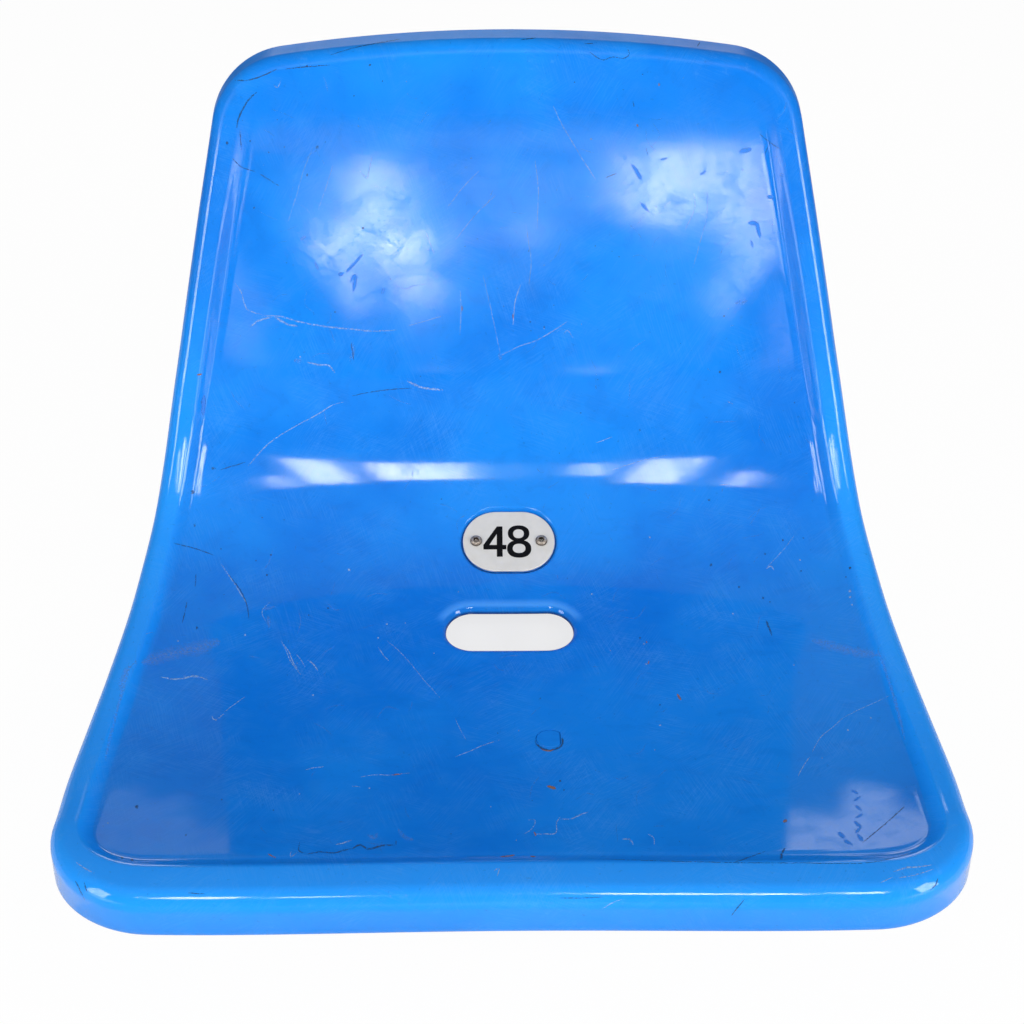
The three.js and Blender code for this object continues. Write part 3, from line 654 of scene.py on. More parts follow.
def pocket_mesh():
    """The wall and floor of the plug's hole, from just under the pan's surface."""
    flat = plug_outline(FIT_GAP) + PLUG_PLACE
    top = surface_point(*flat.T)
    down = PLUG_FRAME.axes[2] * PLUG_POCKET_DEPTH
    count = len(flat)
    faces = [(a, b, count + b, count + a) for a, b in loop_edges(0, count)]
    faces.append(tuple(range(count, 2 * count)))
    return np.concatenate([top, top - down]), np.concatenate([flat, flat]), faces


def under_height(x, y):
    """Height of the underside of the pan at a place seen from above."""
    s = np.interp(y, PROFILE_Y, PROFILE_S)
    return surface_point(x, s, -WALL)[..., 2]


# Outset and height of each corner of the fillets where ribs and bosses meet the pan
RIB_SECTION = [(1.6, 0.3), (0.6, -0.35), (0.15, -0.8), (0, -1.5)]
BOSS_SECTION = [(1.6, 0.3), (0.7, -0.35), (0.15, -1.1), (0, -2)]
BOSS_LOWER_EDGE = [(0, 0.5), (-0.15, 0.15), (-0.5, 0)]
HOLE_EDGE = 0.2
HOLE_END_RADIUS = 0.2
RIB_BEVEL = 0.4
RIB_STEPS = 40
TURNED_STEPS = 64
BOSS_STEPS = 64


def rib_mesh(start, end):
    """A rib under the pan with a small fillet along its root."""
    start = np.array(start, float)
    along = np.array(end, float) - start
    side = np.array([along[1], -along[0]]) / np.linalg.norm(along)
    half = RIB_THICKNESS / 2
    bottom = BOSS_BOTTOM + RIB_DROP
    points = []
    for u in np.linspace(0, 1, RIB_STEPS + 1):
        centre = start + along * u
        root = float(under_height(*centre))
        section = [(half + out, root + down) for out, down in RIB_SECTION]
        section += [(half, bottom + RIB_BEVEL), (half - RIB_BEVEL, bottom)]
        section += [(-out, height) for out, height in section[::-1]]
        points += [(*(centre + side * out), height) for out, height in section]
    size = len(section)
    faces = [face[::-1] for face in ring_faces(RIB_STEPS + 1, size)]
    faces += [tuple(range(size))[::-1], tuple(range(RIB_STEPS * size, (RIB_STEPS + 1) * size))]
    return np.array(points), faces


def boss_mesh(x, y):
    """A fixing boss with its counterbored hole and a fillet at its root."""
    turn = np.arange(BOSS_STEPS) / BOSS_STEPS * TAU
    hole = INSERT_RADIUS + FIT_GAP
    counterbore = INSERT_FLANGE_RADIUS + FIT_GAP
    seat = BOSS_BOTTOM + INSERT_FLANGE_THICKNESS + FIT_GAP
    top = BOSS_BOTTOM + INSERT_LENGTH + FIT_GAP
    section = [(BOSS_RADIUS + out, None, down) for out, down in BOSS_SECTION]
    section += [(BOSS_RADIUS + out, BOSS_BOTTOM, rise) for out, rise in BOSS_LOWER_EDGE]
    section += [(counterbore + HOLE_EDGE, BOSS_BOTTOM, 0), (counterbore, BOSS_BOTTOM, HOLE_EDGE)]
    section += [(counterbore, seat, 0), (hole, seat, 0), (hole, top, 0), (HOLE_END_RADIUS, top, 0)]
    rings = []
    for radius, base, rise in section:
        ring_x = x + radius * np.cos(turn)
        ring_y = y + radius * np.sin(turn)
        height = under_height(ring_x, ring_y) if base is None else turn * 0 + base
        rings.append(np.stack([ring_x, ring_y, height + rise], 1))
    return np.concatenate(rings), [face[::-1] for face in ring_faces(len(rings), BOSS_STEPS)]


def joined(meshes):
    """Several meshes of points and faces as one."""
    points = []
    faces = []
    start = 0
    for some_points, some_faces in meshes:
        points.append(some_points)
        faces += [tuple(k + start for k in face) for face in some_faces]
        start += len(some_points)
    return np.concatenate(points), faces


def underframe_mesh():
    """Two ribs across the seat, two along it, and a boss where they meet."""
    outer = BOSS_SPACING / 2 + RIB_REACH
    sides = (-BOSS_SPACING / 2, BOSS_SPACING / 2)
    places = (FRONT_BOSS_PLACE, REAR_BOSS_PLACE)
    meshes = [rib_mesh((-outer, y), (outer, y)) for y in places]
    meshes += [rib_mesh((x, places[0]), (x, places[1])) for x in sides]
    return joined(meshes + [boss_mesh(x, y) for y in places for x in sides])


def set_attribute(piece, name, values):
    """Stores a value for each point of a piece, for its material."""
    attribute = piece.data.attributes.new(name, "FLOAT", "POINT")
    attribute.data.foreach_set("value", np.asarray(values, np.float32))


def set_developed(mesh, flats):
    """Stores developed positions, in metres, as the mesh's UV map."""
    layer = mesh.uv_layers.new(name="developed")
    corners = np.zeros(len(mesh.loops), int)
    mesh.loops.foreach_get("vertex_index", corners)
    layer.data.foreach_set("uv", (flats[corners] * MM).astype(np.float32).ravel())


def build_shell():
    points, flats, wears, faces = shell_mesh()
    pocket_points, pocket_flats, pocket_faces = pocket_mesh()
    under_points, under_faces = underframe_mesh()
    all_points, all_faces = joined([
        (points, faces), (pocket_points, pocket_faces), (under_points, under_faces),
    ])
    extra = len(all_points) - len(points)
    shell = make_object("moulded_shell", all_points, all_faces)
    set_attribute(shell, "rim_wear", np.concatenate([wears, np.zeros(extra)]))
    set_developed(shell.data, np.concatenate([flats, pocket_flats, under_points[:, :2]]))
    return shell, points, faces


# Marks of wear, painted shade and painted highlights, traced in the photograph's pixels and cast on to the
# shell from its camera
MARK_LIFT = 0.04
# Pixels between points of a stroke and of their wander, and the longest edge of a mark in millimetres
STROKE_STEP = 3
LEAST_STROKE_STEPS = 4
STROKE_WANDER = 0.12
LONGEST_EDGE = 9
# Share of a stroke over which it tapers, as one part in, how sharply, and the width of its ends
TAPER_PART = 5
TAPER_POWER = 0.6
END_WIDTH = 0.25
STROKE_SPREAD = (0.75, 1.15)
# Reach and strength of the rings of a blot round its middle
BLOT_RINGS = ((0.6, 0.85), (1.25, 0.0))
BLOT_SPREAD = (0.7, 1.2)
BLOT_SPOKES = 9
SPECK_RADIUS = (0.35, 0.85)
SPECK_SPOKES = 6
# Mean turn of the random scratches with its spread, then their lengths, bend and widths
SCRATCH_TURN = (0.6, 1.2)
SCRATCH_LENGTH = (4, 26)
SCRATCH_BEND = 0.15
SCRATCH_WIDTH = (0.3, 0.6)
# Width in pixels, then the points of each stroke
PALE_STROKES = [
    (2.2, 262, 316, 278, 316, 300, 322, 330, 327, 350, 329, 372, 331, 398, 330),
    (1.2, 408, 326, 425, 321, 443, 316), (1.6, 235, 283, 241, 292, 247, 309, 262, 315),
    (3, 250, 327, 256, 322, 272, 317), (3.2, 274, 316, 281, 321, 290, 325, 298, 326),
    (2.4, 307, 362, 320, 365, 328, 365, 335, 373), (3.4, 407, 381, 420, 387, 443, 390),
    (1.6, 248, 466, 262, 450, 272, 441, 294, 427, 320, 413, 335, 404, 344, 402),
    (1.2, 372, 157, 369, 170, 367, 178, 360, 171), (0.9, 313, 147, 303, 172, 296, 197, 288, 222),
    (0.9, 333, 165, 325, 190, 318, 210), (0.9, 480, 170, 465, 185, 447, 208),
    (0.9, 496, 195, 480, 210, 455, 240), (1, 426, 232, 434, 254),
    (1.2, 553, 105, 560, 121, 570, 138, 580, 155, 596, 180), (1, 526, 225, 529, 245, 531, 260, 529, 285),
    (1, 535, 160, 538, 185, 537, 230), (1.8, 521, 284, 516, 298, 513, 325),
    (1, 708, 192, 706, 220, 702, 235, 693, 268), (1, 694, 193, 695, 205, 685, 230),
    (1.3, 498, 357, 520, 346, 535, 341, 550, 333, 568, 321), (0.9, 483, 275, 490, 305, 500, 352),
    (1.2, 563, 335, 567, 330, 573, 338), (1.4, 596, 443, 612, 437), (1.2, 727, 401, 733, 404),
    (1.2, 719, 485, 731, 484), (1.2, 273, 84, 277, 88, 281, 80), (1.2, 460, 290, 461, 310, 460, 335),
    (1.6, 221, 564, 230, 577, 239, 591, 247, 604), (1.2, 281, 641, 285, 648, 290, 660, 301, 675),
    (1.6, 284, 645, 289, 652, 293, 662, 299, 671), (1.2, 296, 654, 301, 660, 305, 667),
    (2.2, 308, 660, 313, 664, 318, 671), (2.4, 161, 677, 172, 679, 186, 678, 193, 676, 208, 680),
    (1.3, 183, 676, 196, 677, 207, 678), (2.2, 212, 716, 214, 720, 219, 718, 224, 714),
    (1.2, 224, 712, 232, 706, 245, 697), (1.4, 305, 770, 313, 768, 324, 767),
    (1.2, 360, 777, 374, 775, 392, 775, 400, 774, 410, 773),
    (1, 386, 640, 398, 650, 411, 664, 424, 680, 440, 698), (0.8, 455, 718, 462, 733, 466, 740),
    (1.2, 455, 757, 470, 751, 487, 744, 500, 740), (1.4, 798, 776, 804, 765, 810, 757),
    (1.2, 812, 752, 821, 737, 833, 727, 843, 718), (0.8, 843, 718, 858, 710, 874, 703, 889, 696),
    (1, 794, 536, 784, 549, 767, 567), (2, 766, 569, 771, 566, 774, 570),
    (1.2, 524, 834, 532, 829, 535, 820, 528, 820), (1.8, 535, 834, 545, 834, 556, 833, 557, 822, 560, 817),
    (2.2, 560, 819, 570, 819, 580, 815, 588, 812), (2.4, 622, 839, 631, 840, 633, 845),
    (1.4, 648, 834, 654, 838, 654, 846), (1.4, 291, 851, 290, 857, 297, 853),
    (2.4, 335, 845, 343, 843, 352, 840), (1.2, 352, 786, 360, 787), (1, 612, 470, 640, 461, 668, 455),
    (1, 146, 634, 153, 632), (1.2, 378, 647, 384, 656, 389, 661), (1, 270, 602, 262, 612, 266, 622),
    (1.8, 494, 871, 499, 868, 497, 876), (1.6, 602, 909, 612, 903, 622, 899),
    (2.6, 893, 872, 905, 868, 918, 867, 932, 865), (1.8, 899, 878, 915, 875, 934, 869),
    (1.4, 880, 883, 893, 877), (2, 76, 862, 84, 868, 94, 873), (1.6, 68, 768, 62, 780, 58, 794),
]
# Pale haze: worn patches, and soft streaks along both sides of the pan that are painted highlights
PALE_HAZE_AND_PAINTED_HIGHLIGHTS = [
    (16, 142, 663, 160, 657, 178, 652, 200, 648, 220, 641), (11, 812, 640, 832, 646, 856, 652, 880, 655),
    (9, 120, 690, 126, 674, 136, 660), (5, 352, 342, 353, 352, 350, 362), (6, 294, 360, 302, 361),
    (5, 500, 353, 500, 360), (5, 368, 835, 374, 838, 378, 833), (5, 398, 829, 406, 838, 414, 840),
    (5, 268, 616, 269, 628), (4, 262, 609, 276, 607), (7, 735, 303, 748, 301),
    (4, 878, 650, 886, 672, 896, 704, 905, 740), (4, 130, 665, 120, 700, 112, 730, 105, 760),
]
# Dark strokes: grime, and thin lines along the crease of the front lip that are painted shade
DARK_STROKES_AND_CREASE_SHADE = [
    (1.6, 232, 80, 250, 80, 262, 76, 277, 69), (1.3, 285, 69, 305, 67, 330, 65),
    (2.2, 257, 92, 250, 98, 241, 113, 238, 120, 237, 128), (1.2, 240, 130, 241, 150),
    (1.1, 232, 158, 240, 166, 256, 172), (1.6, 260, 174, 279, 186), (1, 330, 55, 350, 49, 400, 39),
    (1.2, 590, 52, 603, 60, 613, 57, 625, 58, 629, 55, 627, 47), (1, 760, 134, 768, 141, 780, 149),
    (1, 771, 141, 768, 147, 765, 154), (1.2, 605, 178, 617, 173), (1.2, 646, 148, 648, 155),
    (1.3, 633, 101, 634, 107), (1.2, 220, 470, 246, 462), (1, 352, 396, 365, 393, 385, 390, 412, 388),
    (1.2, 351, 342, 354, 362), (1.2, 173, 543, 185, 546, 200, 550, 215, 556),
    (1.4, 228, 574, 236, 584, 243, 595, 247, 606, 249, 619), (1.2, 196, 574, 195, 587),
    (1.3, 187, 602, 185, 612, 182, 623), (2.2, 766, 620, 769, 628, 772, 636),
    (1.2, 300, 842, 299, 851, 306, 853), (1.6, 307, 854, 320, 852, 334, 853, 345, 850, 352, 849),
    (2.4, 352, 849, 360, 845, 368, 849, 380, 846, 395, 845), (1.2, 396, 845, 396, 840),
    (0.8, 600, 859, 700, 862, 800, 863, 880, 861, 915, 852), (1.2, 520, 40, 536, 38), (1, 584, 44, 595, 43),
    (1.2, 700, 42, 697, 47), (1.2, 735, 862, 750, 857, 766, 851), (3, 781, 862, 782, 853, 785, 848),
    (1.4, 862, 843, 878, 830, 892, 818, 905, 806), (1.2, 560, 898, 580, 898, 604, 897),
    (1.6, 731, 916, 738, 907, 745, 899), (1.8, 930, 890, 936, 884, 938, 878),
    (1.4, 75, 880, 80, 890, 85, 900), (1.4, 84, 882, 87, 892), (1.2, 188, 893, 205, 894),
    (2.6, 549, 732, 556, 733, 562, 738, 562, 745, 556, 749, 549, 750),
    (2.6, 549, 750, 541, 748, 536, 743, 536, 738, 541, 733, 549, 732),
]
RUST_STROKES = [
    (4, 547, 786, 556, 789), (3.6, 783, 822, 787, 820), (3.2, 677, 694, 681, 700),
    (1.6, 513, 314, 513, 319), (1.6, 462, 306, 462, 311), (2.4, 197, 375, 202, 374),
    (1.8, 659, 83, 659, 86), (1.8, 637, 124, 638, 127), (1.4, 500, 857, 515, 855),
    (1.4, 530, 856, 536, 857), (2, 534, 832, 536, 836), (1.4, 392, 775, 402, 774),
    (1.4, 268, 854, 276, 858), (1.6, 648, 664, 649, 661), (1.6, 646, 641, 647, 643),
    (1.8, 541, 749, 548, 751, 554, 750),
]
DULL_STROKES = [
    (5, 739, 152, 752, 149), (4, 631, 164, 636, 170, 641, 180), (3, 640, 202, 649, 212),
    (5, 748, 223, 755, 223, 760, 238), (3, 751, 240, 753, 248), (5, 767, 197, 774, 197),
    (3, 780, 174, 784, 176), (2.4, 315, 262, 318, 270), (4, 338, 274, 344, 274),
    (3.4, 346, 273, 354, 264, 363, 254), (4, 350, 282, 355, 275, 353, 292), (3, 384, 288, 382, 294),
    (5, 204, 395, 203, 415), (3, 852, 790, 858, 794), (2.6, 861, 796, 854, 801), (3.4, 855, 805, 862, 811),
    (2.6, 863, 814, 855, 818), (3.6, 854, 821, 861, 827), (3.4, 862, 826, 855, 833),
    (4, 857, 834, 863, 841), (4.4, 838, 832, 845, 838), (3.6, 844, 840, 852, 845),
    (2.4, 660, 160, 668, 158), (2.4, 700, 175, 706, 171), (2.4, 300, 240, 306, 236),
]
DARK_BLOTS = [
    (213, 468, 2.4), (193, 492, 3), (227, 143, 2.4), (254, 208, 2), (363, 228, 2), (250, 141, 1.6),
    (640, 430, 1.8), (720, 372, 1.8), (724, 316, 1.6), (307, 66, 1.8), (317, 147, 2.4), (325, 142, 1.6),
    (307, 175, 2), (370, 65, 2), (354, 96, 1.4), (335, 312, 1.6), (711, 565, 2.4), (267, 575, 1.6),
    (271, 555, 1.6), (328, 608, 1.6), (221, 549, 1.4), (660, 705, 1.6), (783, 540, 1.8),
    (803, 538, 1.6), (765, 554, 1.6), (763, 598, 1.8), (770, 602, 1.4), (739, 587, 1.8),
    (197, 628, 2), (122, 858, 1.8), (132, 860, 2.2), (186, 835, 1.6), (560, 781, 1.8),
    (564, 790, 1.4), (640, 638, 1.8), (850, 568, 2), (801, 571, 1.4), (846, 577, 1.2),
    (195, 525, 2.2), (709, 500, 1.8), (137, 807, 3),
]
PALE_BLOTS = [
    (591, 139, 1.8), (471, 158, 1.4), (349, 570, 2.2), (387, 624, 1.8), (378, 638, 1.6),
    (313, 695, 1.8), (644, 644, 1.6), (646, 664, 1.6), (660, 725, 1.8), (794, 665, 1.4),
    (733, 614, 1.8), (850, 591, 2.4), (850, 597, 2), (852, 605, 1.6), (848, 730, 1.6),
    (871, 718, 1.6), (650, 537, 2), (800, 560, 1.6), (822, 758, 1.4), (178, 641, 1.4),
    (245, 635, 1.6), (592, 594, 1.4), (103, 826, 1.6), (108, 823, 1.4), (655, 750, 1.2),
]
# Shares of the widths and radii above at which the marks are drawn
STROKE_SHARE = 0.5
PALE_STROKE_SHARE = 0.42
BLOT_SHARE = 0.6
RANDOM_SCRATCHES = 150
RANDOM_SPECKS = 70
RANDOM_AREA = ((215, 815), (60, 850))
RANDOM_SEED = 48
LEAST_LENGTH = 1e-6


# Turned and flat pieces in a surface frame
def turned(name, profile, across, segments=TURNED_STEPS):
    """A smooth solid of revolution from radius and height pairs, on the plate's plane."""
    turn = np.arange(segments) / segments * TAU
    rings = [
        np.stack([across + radius * np.cos(turn), radius * np.sin(turn), turn * 0 + height], 1)
        for radius, height in profile
    ]
    return make_object(name, PLATE_FRAME.world(np.concatenate(rings)), ring_faces(len(rings), segments))


def stacked_loops(name, loops, place):
    """A closed piece from loops of equal counts at given heights, capped at both ends."""
    rings = [place(np.column_stack([loop, np.full(len(loop), height)])) for loop, height in loops]
    count = len(rings[0])
    last = (len(rings) - 1) * count
    caps = [tuple(range(count)), tuple(range(last, last + count))[::-1]]
    return make_object(name, np.concatenate(rings), ring_faces(len(rings), count) + caps)


PLATE_BEVEL = 0.45
PLATE_BEVEL_PARTS = (1, 0.62, 0.32, 0.1, 0)
# Inset and rise of each loop of the plate's lower edge, and the width of its flat border on top
PLATE_LOWER_EDGE = ((0.35, 0), (0.1, 0.1), (0, 0.35))
PLATE_BORDER = 0.6


def build_plate():
    edge = [(-inset, PLATE_BOTTOM + rise) for inset, rise in PLATE_LOWER_EDGE]
    for part in PLATE_BEVEL_PARTS:
        across, down = (PLATE_BEVEL * (1 - turn(part * TAU / 4)) for turn in (math.sin, math.cos))
        edge.append((-across, PLATE_TOP - down))
    edge.append((-PLATE_BEVEL - PLATE_BORDER, PLATE_TOP))
    loops = [(plate_loop(outset), height) for outset, height in edge[::-1]]
    return stacked_loops("number_plate_face", loops, PLATE_FRAME.world)


INK_THICKNESS = 0.06
FOUR_OUTLINE = [
    (-14.5, -5.4), (-14.5, -2.5), (-6.75, 9.4), (-3.55, 9.4), (-3.55, -2.5), (-1.4, -2.5),
    (-1.4, -5.4), (-3.55, -5.4), (-3.55, -10.05), (-6.85, -10.05), (-6.85, -5.4),
]
FOUR_COUNTER = [(-6.85, 4.5), (-11.1, -2.5), (-6.85, -2.5)]
EIGHT_BOWLS = [((5.65, 4.9), (6.15, 5.1)), ((5.9, -5.0), (6.9, 5.7))]
EIGHT_COUNTERS = [((5.6, 4.6), (3.05, 2.85)), ((5.85, -4.75), (3.6, 2.95))]
BOWL_POWER = 2.25
BOWL_STEPS = 96


def bowl_loop(centre, radii):
    """A rounded oval, a little fuller than an ellipse."""
    turn = np.arange(BOWL_STEPS) / BOWL_STEPS * TAU
    circle = np.stack([np.cos(turn), np.sin(turn)], 1)
    return centre + np.array(radii) * np.sign(circle) * np.abs(circle) ** (2 / BOWL_POWER)


def bowl_inside(points, centre, radii):
    scaled = np.abs((points - centre) / radii)
    return (scaled ** BOWL_POWER).sum(-1) < 1


def loop_inside(points, loop):
    """Which points lie inside a closed loop."""
    x, y = points.T
    inside = np.zeros(len(points), bool)
    for (x0, y0), (x1, y1) in zip(loop, np.roll(loop, -1, 0)):
        crosses = (y0 > y) != (y1 > y)
        rise = y1 - y0 if y1 != y0 else 1
        inside ^= crosses & (x < x0 + (x1 - x0) * (y - y0) / rise)
    return inside


def ink_piece(name, loops, printed):
    """A thin print on the plate: the triangles between loops that a test calls printed."""
    points = []
    edges = []
    for loop in loops:
        edges += loop_edges(len(points), len(loop))
        points += [Vector(p) for p in loop]
    found = delaunay_2d_cdt(points, edges, [], 0, MERGE_DISTANCE)
    flat = np.array([list(v) for v in found[0]])
    triangles = [tuple(t) for t in found[2]]
    inside = printed(np.array([flat[list(t)].mean(0) for t in triangles]))
    triangles = [t for t, keep in zip(triangles, inside) if keep]
    count = len(flat)
    sides = [
        PLATE_FRAME.world(np.column_stack([flat, np.full(count, PLATE_TOP + height)]))
        for height in (-INK_THICKNESS / 2, INK_THICKNESS)
    ]
    faces = [tuple(k + count for k in t) for t in triangles] + [t[::-1] for t in triangles]
    used = {edge for t in triangles for edge in zip(t, t[1:] + t[:1])}
    faces += [(a, b, b + count, a + count) for a, b in used if (b, a) not in used]
    return make_object(name, np.concatenate(sides), faces, smooth=False)


def four_printed(places):
    return loop_inside(places, FOUR_OUTLINE) & ~loop_inside(places, FOUR_COUNTER)


def eight_printed(places):
    bowls = [bowl_inside(places, *bowl) for bowl in EIGHT_BOWLS]
    counters = [bowl_inside(places, *counter) for counter in EIGHT_COUNTERS]
    return (bowls[0] | bowls[1]) & ~(counters[0] | counters[1])


def build_digits():
    eight_loops = [bowl_loop(*bowl) for bowl in EIGHT_BOWLS + EIGHT_COUNTERS]
    return (
        ink_piece("digit_four", [FOUR_OUTLINE, FOUR_COUNTER], four_printed),
        ink_piece("digit_eight", eight_loops, eight_printed),
    )


# Radius and height of a rivet's head over the plate, of its bulb under the wall, and of the
# mandrel's worn end and its head
RIVET_HEAD = [
    (3.36, 0), (3.4, 0.12), (3.36, 0.32), (3.15, 0.58), (2.85, 0.84), (2.45, 1.12),
    (2.1, 1.32), (1.8, 1.44), (1.55, 1.5), (1.36, 1.47), (1.24, 1.34), (1.2, 1.1),
]
RIVET_BULB = [(1.9, 0), (2.45, -0.6), (2.7, -1.4), (2.7, -2.6), (2.4, -3.4), (1.9, -4), (1.2, -4)]
MANDREL_END = [(0.01, -0.12), (0.35, -0.1), (0.6, -0.02), (0.78, 0), (0.88, -0.08), (0.9, -0.3)]
MANDREL_HEAD = [
    (0.9, 0.2), (1.1, 0), (1.4, -0.1), (1.5, -0.4), (1.5, -1.5), (1.3, -2.3), (0.8, -2.85), (0.01, -3),
]
MANDREL_STEPS = 40


def raised(profile, base):
    return [(radius, base + height) for radius, height in profile]


def build_rivet(side):
    seat = PLATE_TOP + FIT_GAP
    under = -WALL - FIT_GAP
    shank = [(RIVET_SHANK_RADIUS, seat), (RIVET_SHANK_RADIUS, under)]
    profile = raised(RIVET_HEAD[::-1], seat) + shank + raised(RIVET_BULB, under)
    profile = [profile[0]] + profile[::-1]
    rivet = turned(f"blind_rivet_{side}", profile, RIVET_PLACES[side])
    # Painted shade in the bore and at the foot of the head, stored for the material
    shares = np.interp([radius for radius, _ in profile], *zip(*RIVET_SHADE_BY_RADIUS))
    set_attribute(rivet, "painted_rivet_shade", np.repeat(shares, TURNED_STEPS))
    return rivet


def build_mandrel(side, depth):
    top = PLATE_TOP + FIT_GAP + RIVET_HEAD_HEIGHT - depth
    shoulder = -WALL - RIVET_BULB_LENGTH - 2 * FIT_GAP
    profile = raised(MANDREL_END, top) + raised(MANDREL_HEAD, shoulder)
    return turned(f"mandrel_pin_{side}", profile[::-1], RIVET_PLACES[side], MANDREL_STEPS)


def build_plug():
    collar_top = PLUG_SEAT_DEPTH - WALL - FIT_GAP
    collar_bottom = collar_top - PLUG_COLLAR_THICKNESS
    collar = PLUG_RADIUS + PLUG_COLLAR_OVERLAP
    rim = plug_outline(0)
    towards = rim / np.linalg.norm(rim, axis=1, keepdims=True)
    loops = [(plug_outline(outset), height) for outset, height in (*PLUG_TOP_EDGE, (0, collar_top))]
    loops += [(towards * radius, height) for radius, height in (
        (collar - PLUG_COLLAR_ROUND, collar_top), (collar, collar_top - PLUG_COLLAR_ROUND),
        (collar, collar_bottom + PLUG_COLLAR_ROUND), (collar - PLUG_COLLAR_ROUND, collar_bottom),
    )]
    return stacked_loops("pan_plug_cap", loops, PLUG_FRAME.world)


# Node materials
def colour(red, green, blue):
    """A colour from display values, 0 to 255, as linear light."""
    linear = [
        c / 12.92 if c <= 0.04045 else ((c + 0.055) / 1.055) ** 2.4
        for c in (red / 255, green / 255, blue / 255)
    ]
    return (*linear, 1.0)


SHELL_IOR = 1.48
# Lowest and highest roughness of the gloss, and what pits, rubbing, the dull top and the bend add
ROUGHNESS = (0.05, 0.08)
PIT_ROUGHNESS = 0.2
RUBBED_ROUGHNESS = 0.1
DULL_ROUGHNESS = 0.25
BEND_ROUGHNESS = 0.02
SHELL_COLOURS = (colour(12, 119, 220), colour(22, 136, 234))
FADED_COLOUR = colour(56, 136, 216)
DEEP_COLOUR = colour(8, 92, 186)
# Painted shade: a darker blue for the front of the pan, inside the rim
PAN_FRONT_SHADE_COLOUR = colour(10, 84, 168)
RIM_COLOUR = colour(30, 148, 246)
GRIME_COLOUR = colour(20, 90, 168)
RUBBED_COLOUR = colour(110, 172, 232)
# Painted shade: the dark blue line round the plate and the slot's edge
PAINTED_GAP_SHADE_COLOUR = colour(6, 34, 92)
# Painted highlight: the paler blue along the slot's upper edge
SLOT_HIGHLIGHT_COLOUR = colour(84, 166, 250)
SCRAPED_COLOUR = colour(110, 170, 230)
# Stations in metres between which each comes in or fades, front to back: the dull gloss of the
# flange, the painted shade on the front of the pan, the pale rim, and the dull top edge
DULL_FLANGE = (-0.023, -0.018)
PAN_FRONT_SHADE_STATIONS = (0.19, 0.26)
PALE_RIM = (0.3, 0.45)
DULL_TOP = (0.47, 0.5)
# Stations where the bend, rubbed by clothes, comes in and fades
RUBBED_BEND = (0.22, 0.27, 0.33, 0.38)
# Noises as scale, detail, roughness and distortion
BROAD_NOISE = (9, 4, 0.55)
CLOUD_NOISE = (60, 4, 0.65, 0.6)
CLOUD_TURN = 0.4
CLOUD_STRETCH = (1, 1.8, 1)
GRIME_NOISE = (420, 3, 0.7)
RUBBED_NOISE = (170, 4, 0.75)
VEIN_NOISE = (520, 3, 0.6, 1.8)
PIT_NOISE = (1300, 2, 0.6)
WAVE_NOISE = (35, 2)
SCRATCH_NOISE = (1, 3, 0.6)
SCRATCH_PATCH_NOISE = (26, 2)
# Levels of a noise between which each comes in, then its share at both where it isn't 0 and 1
BROAD_FADE = (0.35, 0.65)
FADED_CLOUD = (0.5, 0.7, 0, 0.16)
DEEP_CLOUD = (0.32, 0.48, 0.14, 0)
ROUGH_CLOUD = (0.4, 0.75)
CLOUD_GLOSS = (0.45, 0.7, 1, 0.6)
GRIME_LEVELS = (0.62, 0.74, 0, 0.35)
RUBBED_LEVELS = (0.58, 0.72)
VEIN_GLOSS = (0, 0.07, 0.34, 0.56)
PIT_LEVELS = (0.68, 0.76)
SCRATCH_PATCHES = (0.48, 0.66)
GROOVE_WIDTH = 0.05
# Shares of the colours and of the gloss
PAN_FRONT_SHADE_SHARE = 0.22
RIM_SHARE = 0.85
RUBBED_SHARE = 0.12
PAINTED_GAP_SHADE_SHARE = 0.8
SLOT_HIGHLIGHT_SHARE = 0.5
SCRAPED_SHARE = 0.09
SCRAPED_GLOSS = -0.16
LEAST_GLOSS = 0.1
DULL_TOP_GLOSS = -0.8
DULL_FLANGE_GLOSS = 0.35
# Strength and height in metres of each kind of relief
VEIN_BUMP = (0.3, 0.000004)
SCRATCH_BUMP = (0.1, 0.000004)
PIT_BUMP = (0.2, 0.000008)
WAVE_BUMP = (0.12, 0.00016)
# Distances in metres from the plate and the slot where the painted shade beside them comes in and fades
PLATE_SHADE_REACH = (0, 0.0002, 0.0006, 0.0012)
SLOT_SHADE_REACH = (-0.001, -0.0006, 0.0, 0.0006)
# Distances from the slot at which a painted highlight, a paler blue, lies along its upper edge, and how far
# up it comes in
SLOT_HIGHLIGHT_BAND = (0.0015, 0.003, 0.004, 0.008)
SLOT_HIGHLIGHT_ABOVE = (0.003, 0.011)
# How fine the straight scratches are, then turn, stretch along the lines and shift of each set
SCRATCH_FINENESS = 700
SCRATCH_SETS = [(0.35, 30, 0.1), (1.25, 24, 0.7), (-0.6, 36, 1.3), (2.1, 20, 2.2)]


def stadium_outline(station, length, width):
    """Station, half straight and end radius of a stadium shape, in metres."""
    return station * MM, (length - width) / 2 * MM, width / 2 * MM


PLATE_OUTLINE = stadium_outline(PLATE_STATION, PLATE_LENGTH, PLATE_WIDTH)
SLOT_OUTLINE = stadium_outline(SLOT_STATION, SLOT_LENGTH, SLOT_WIDTH)


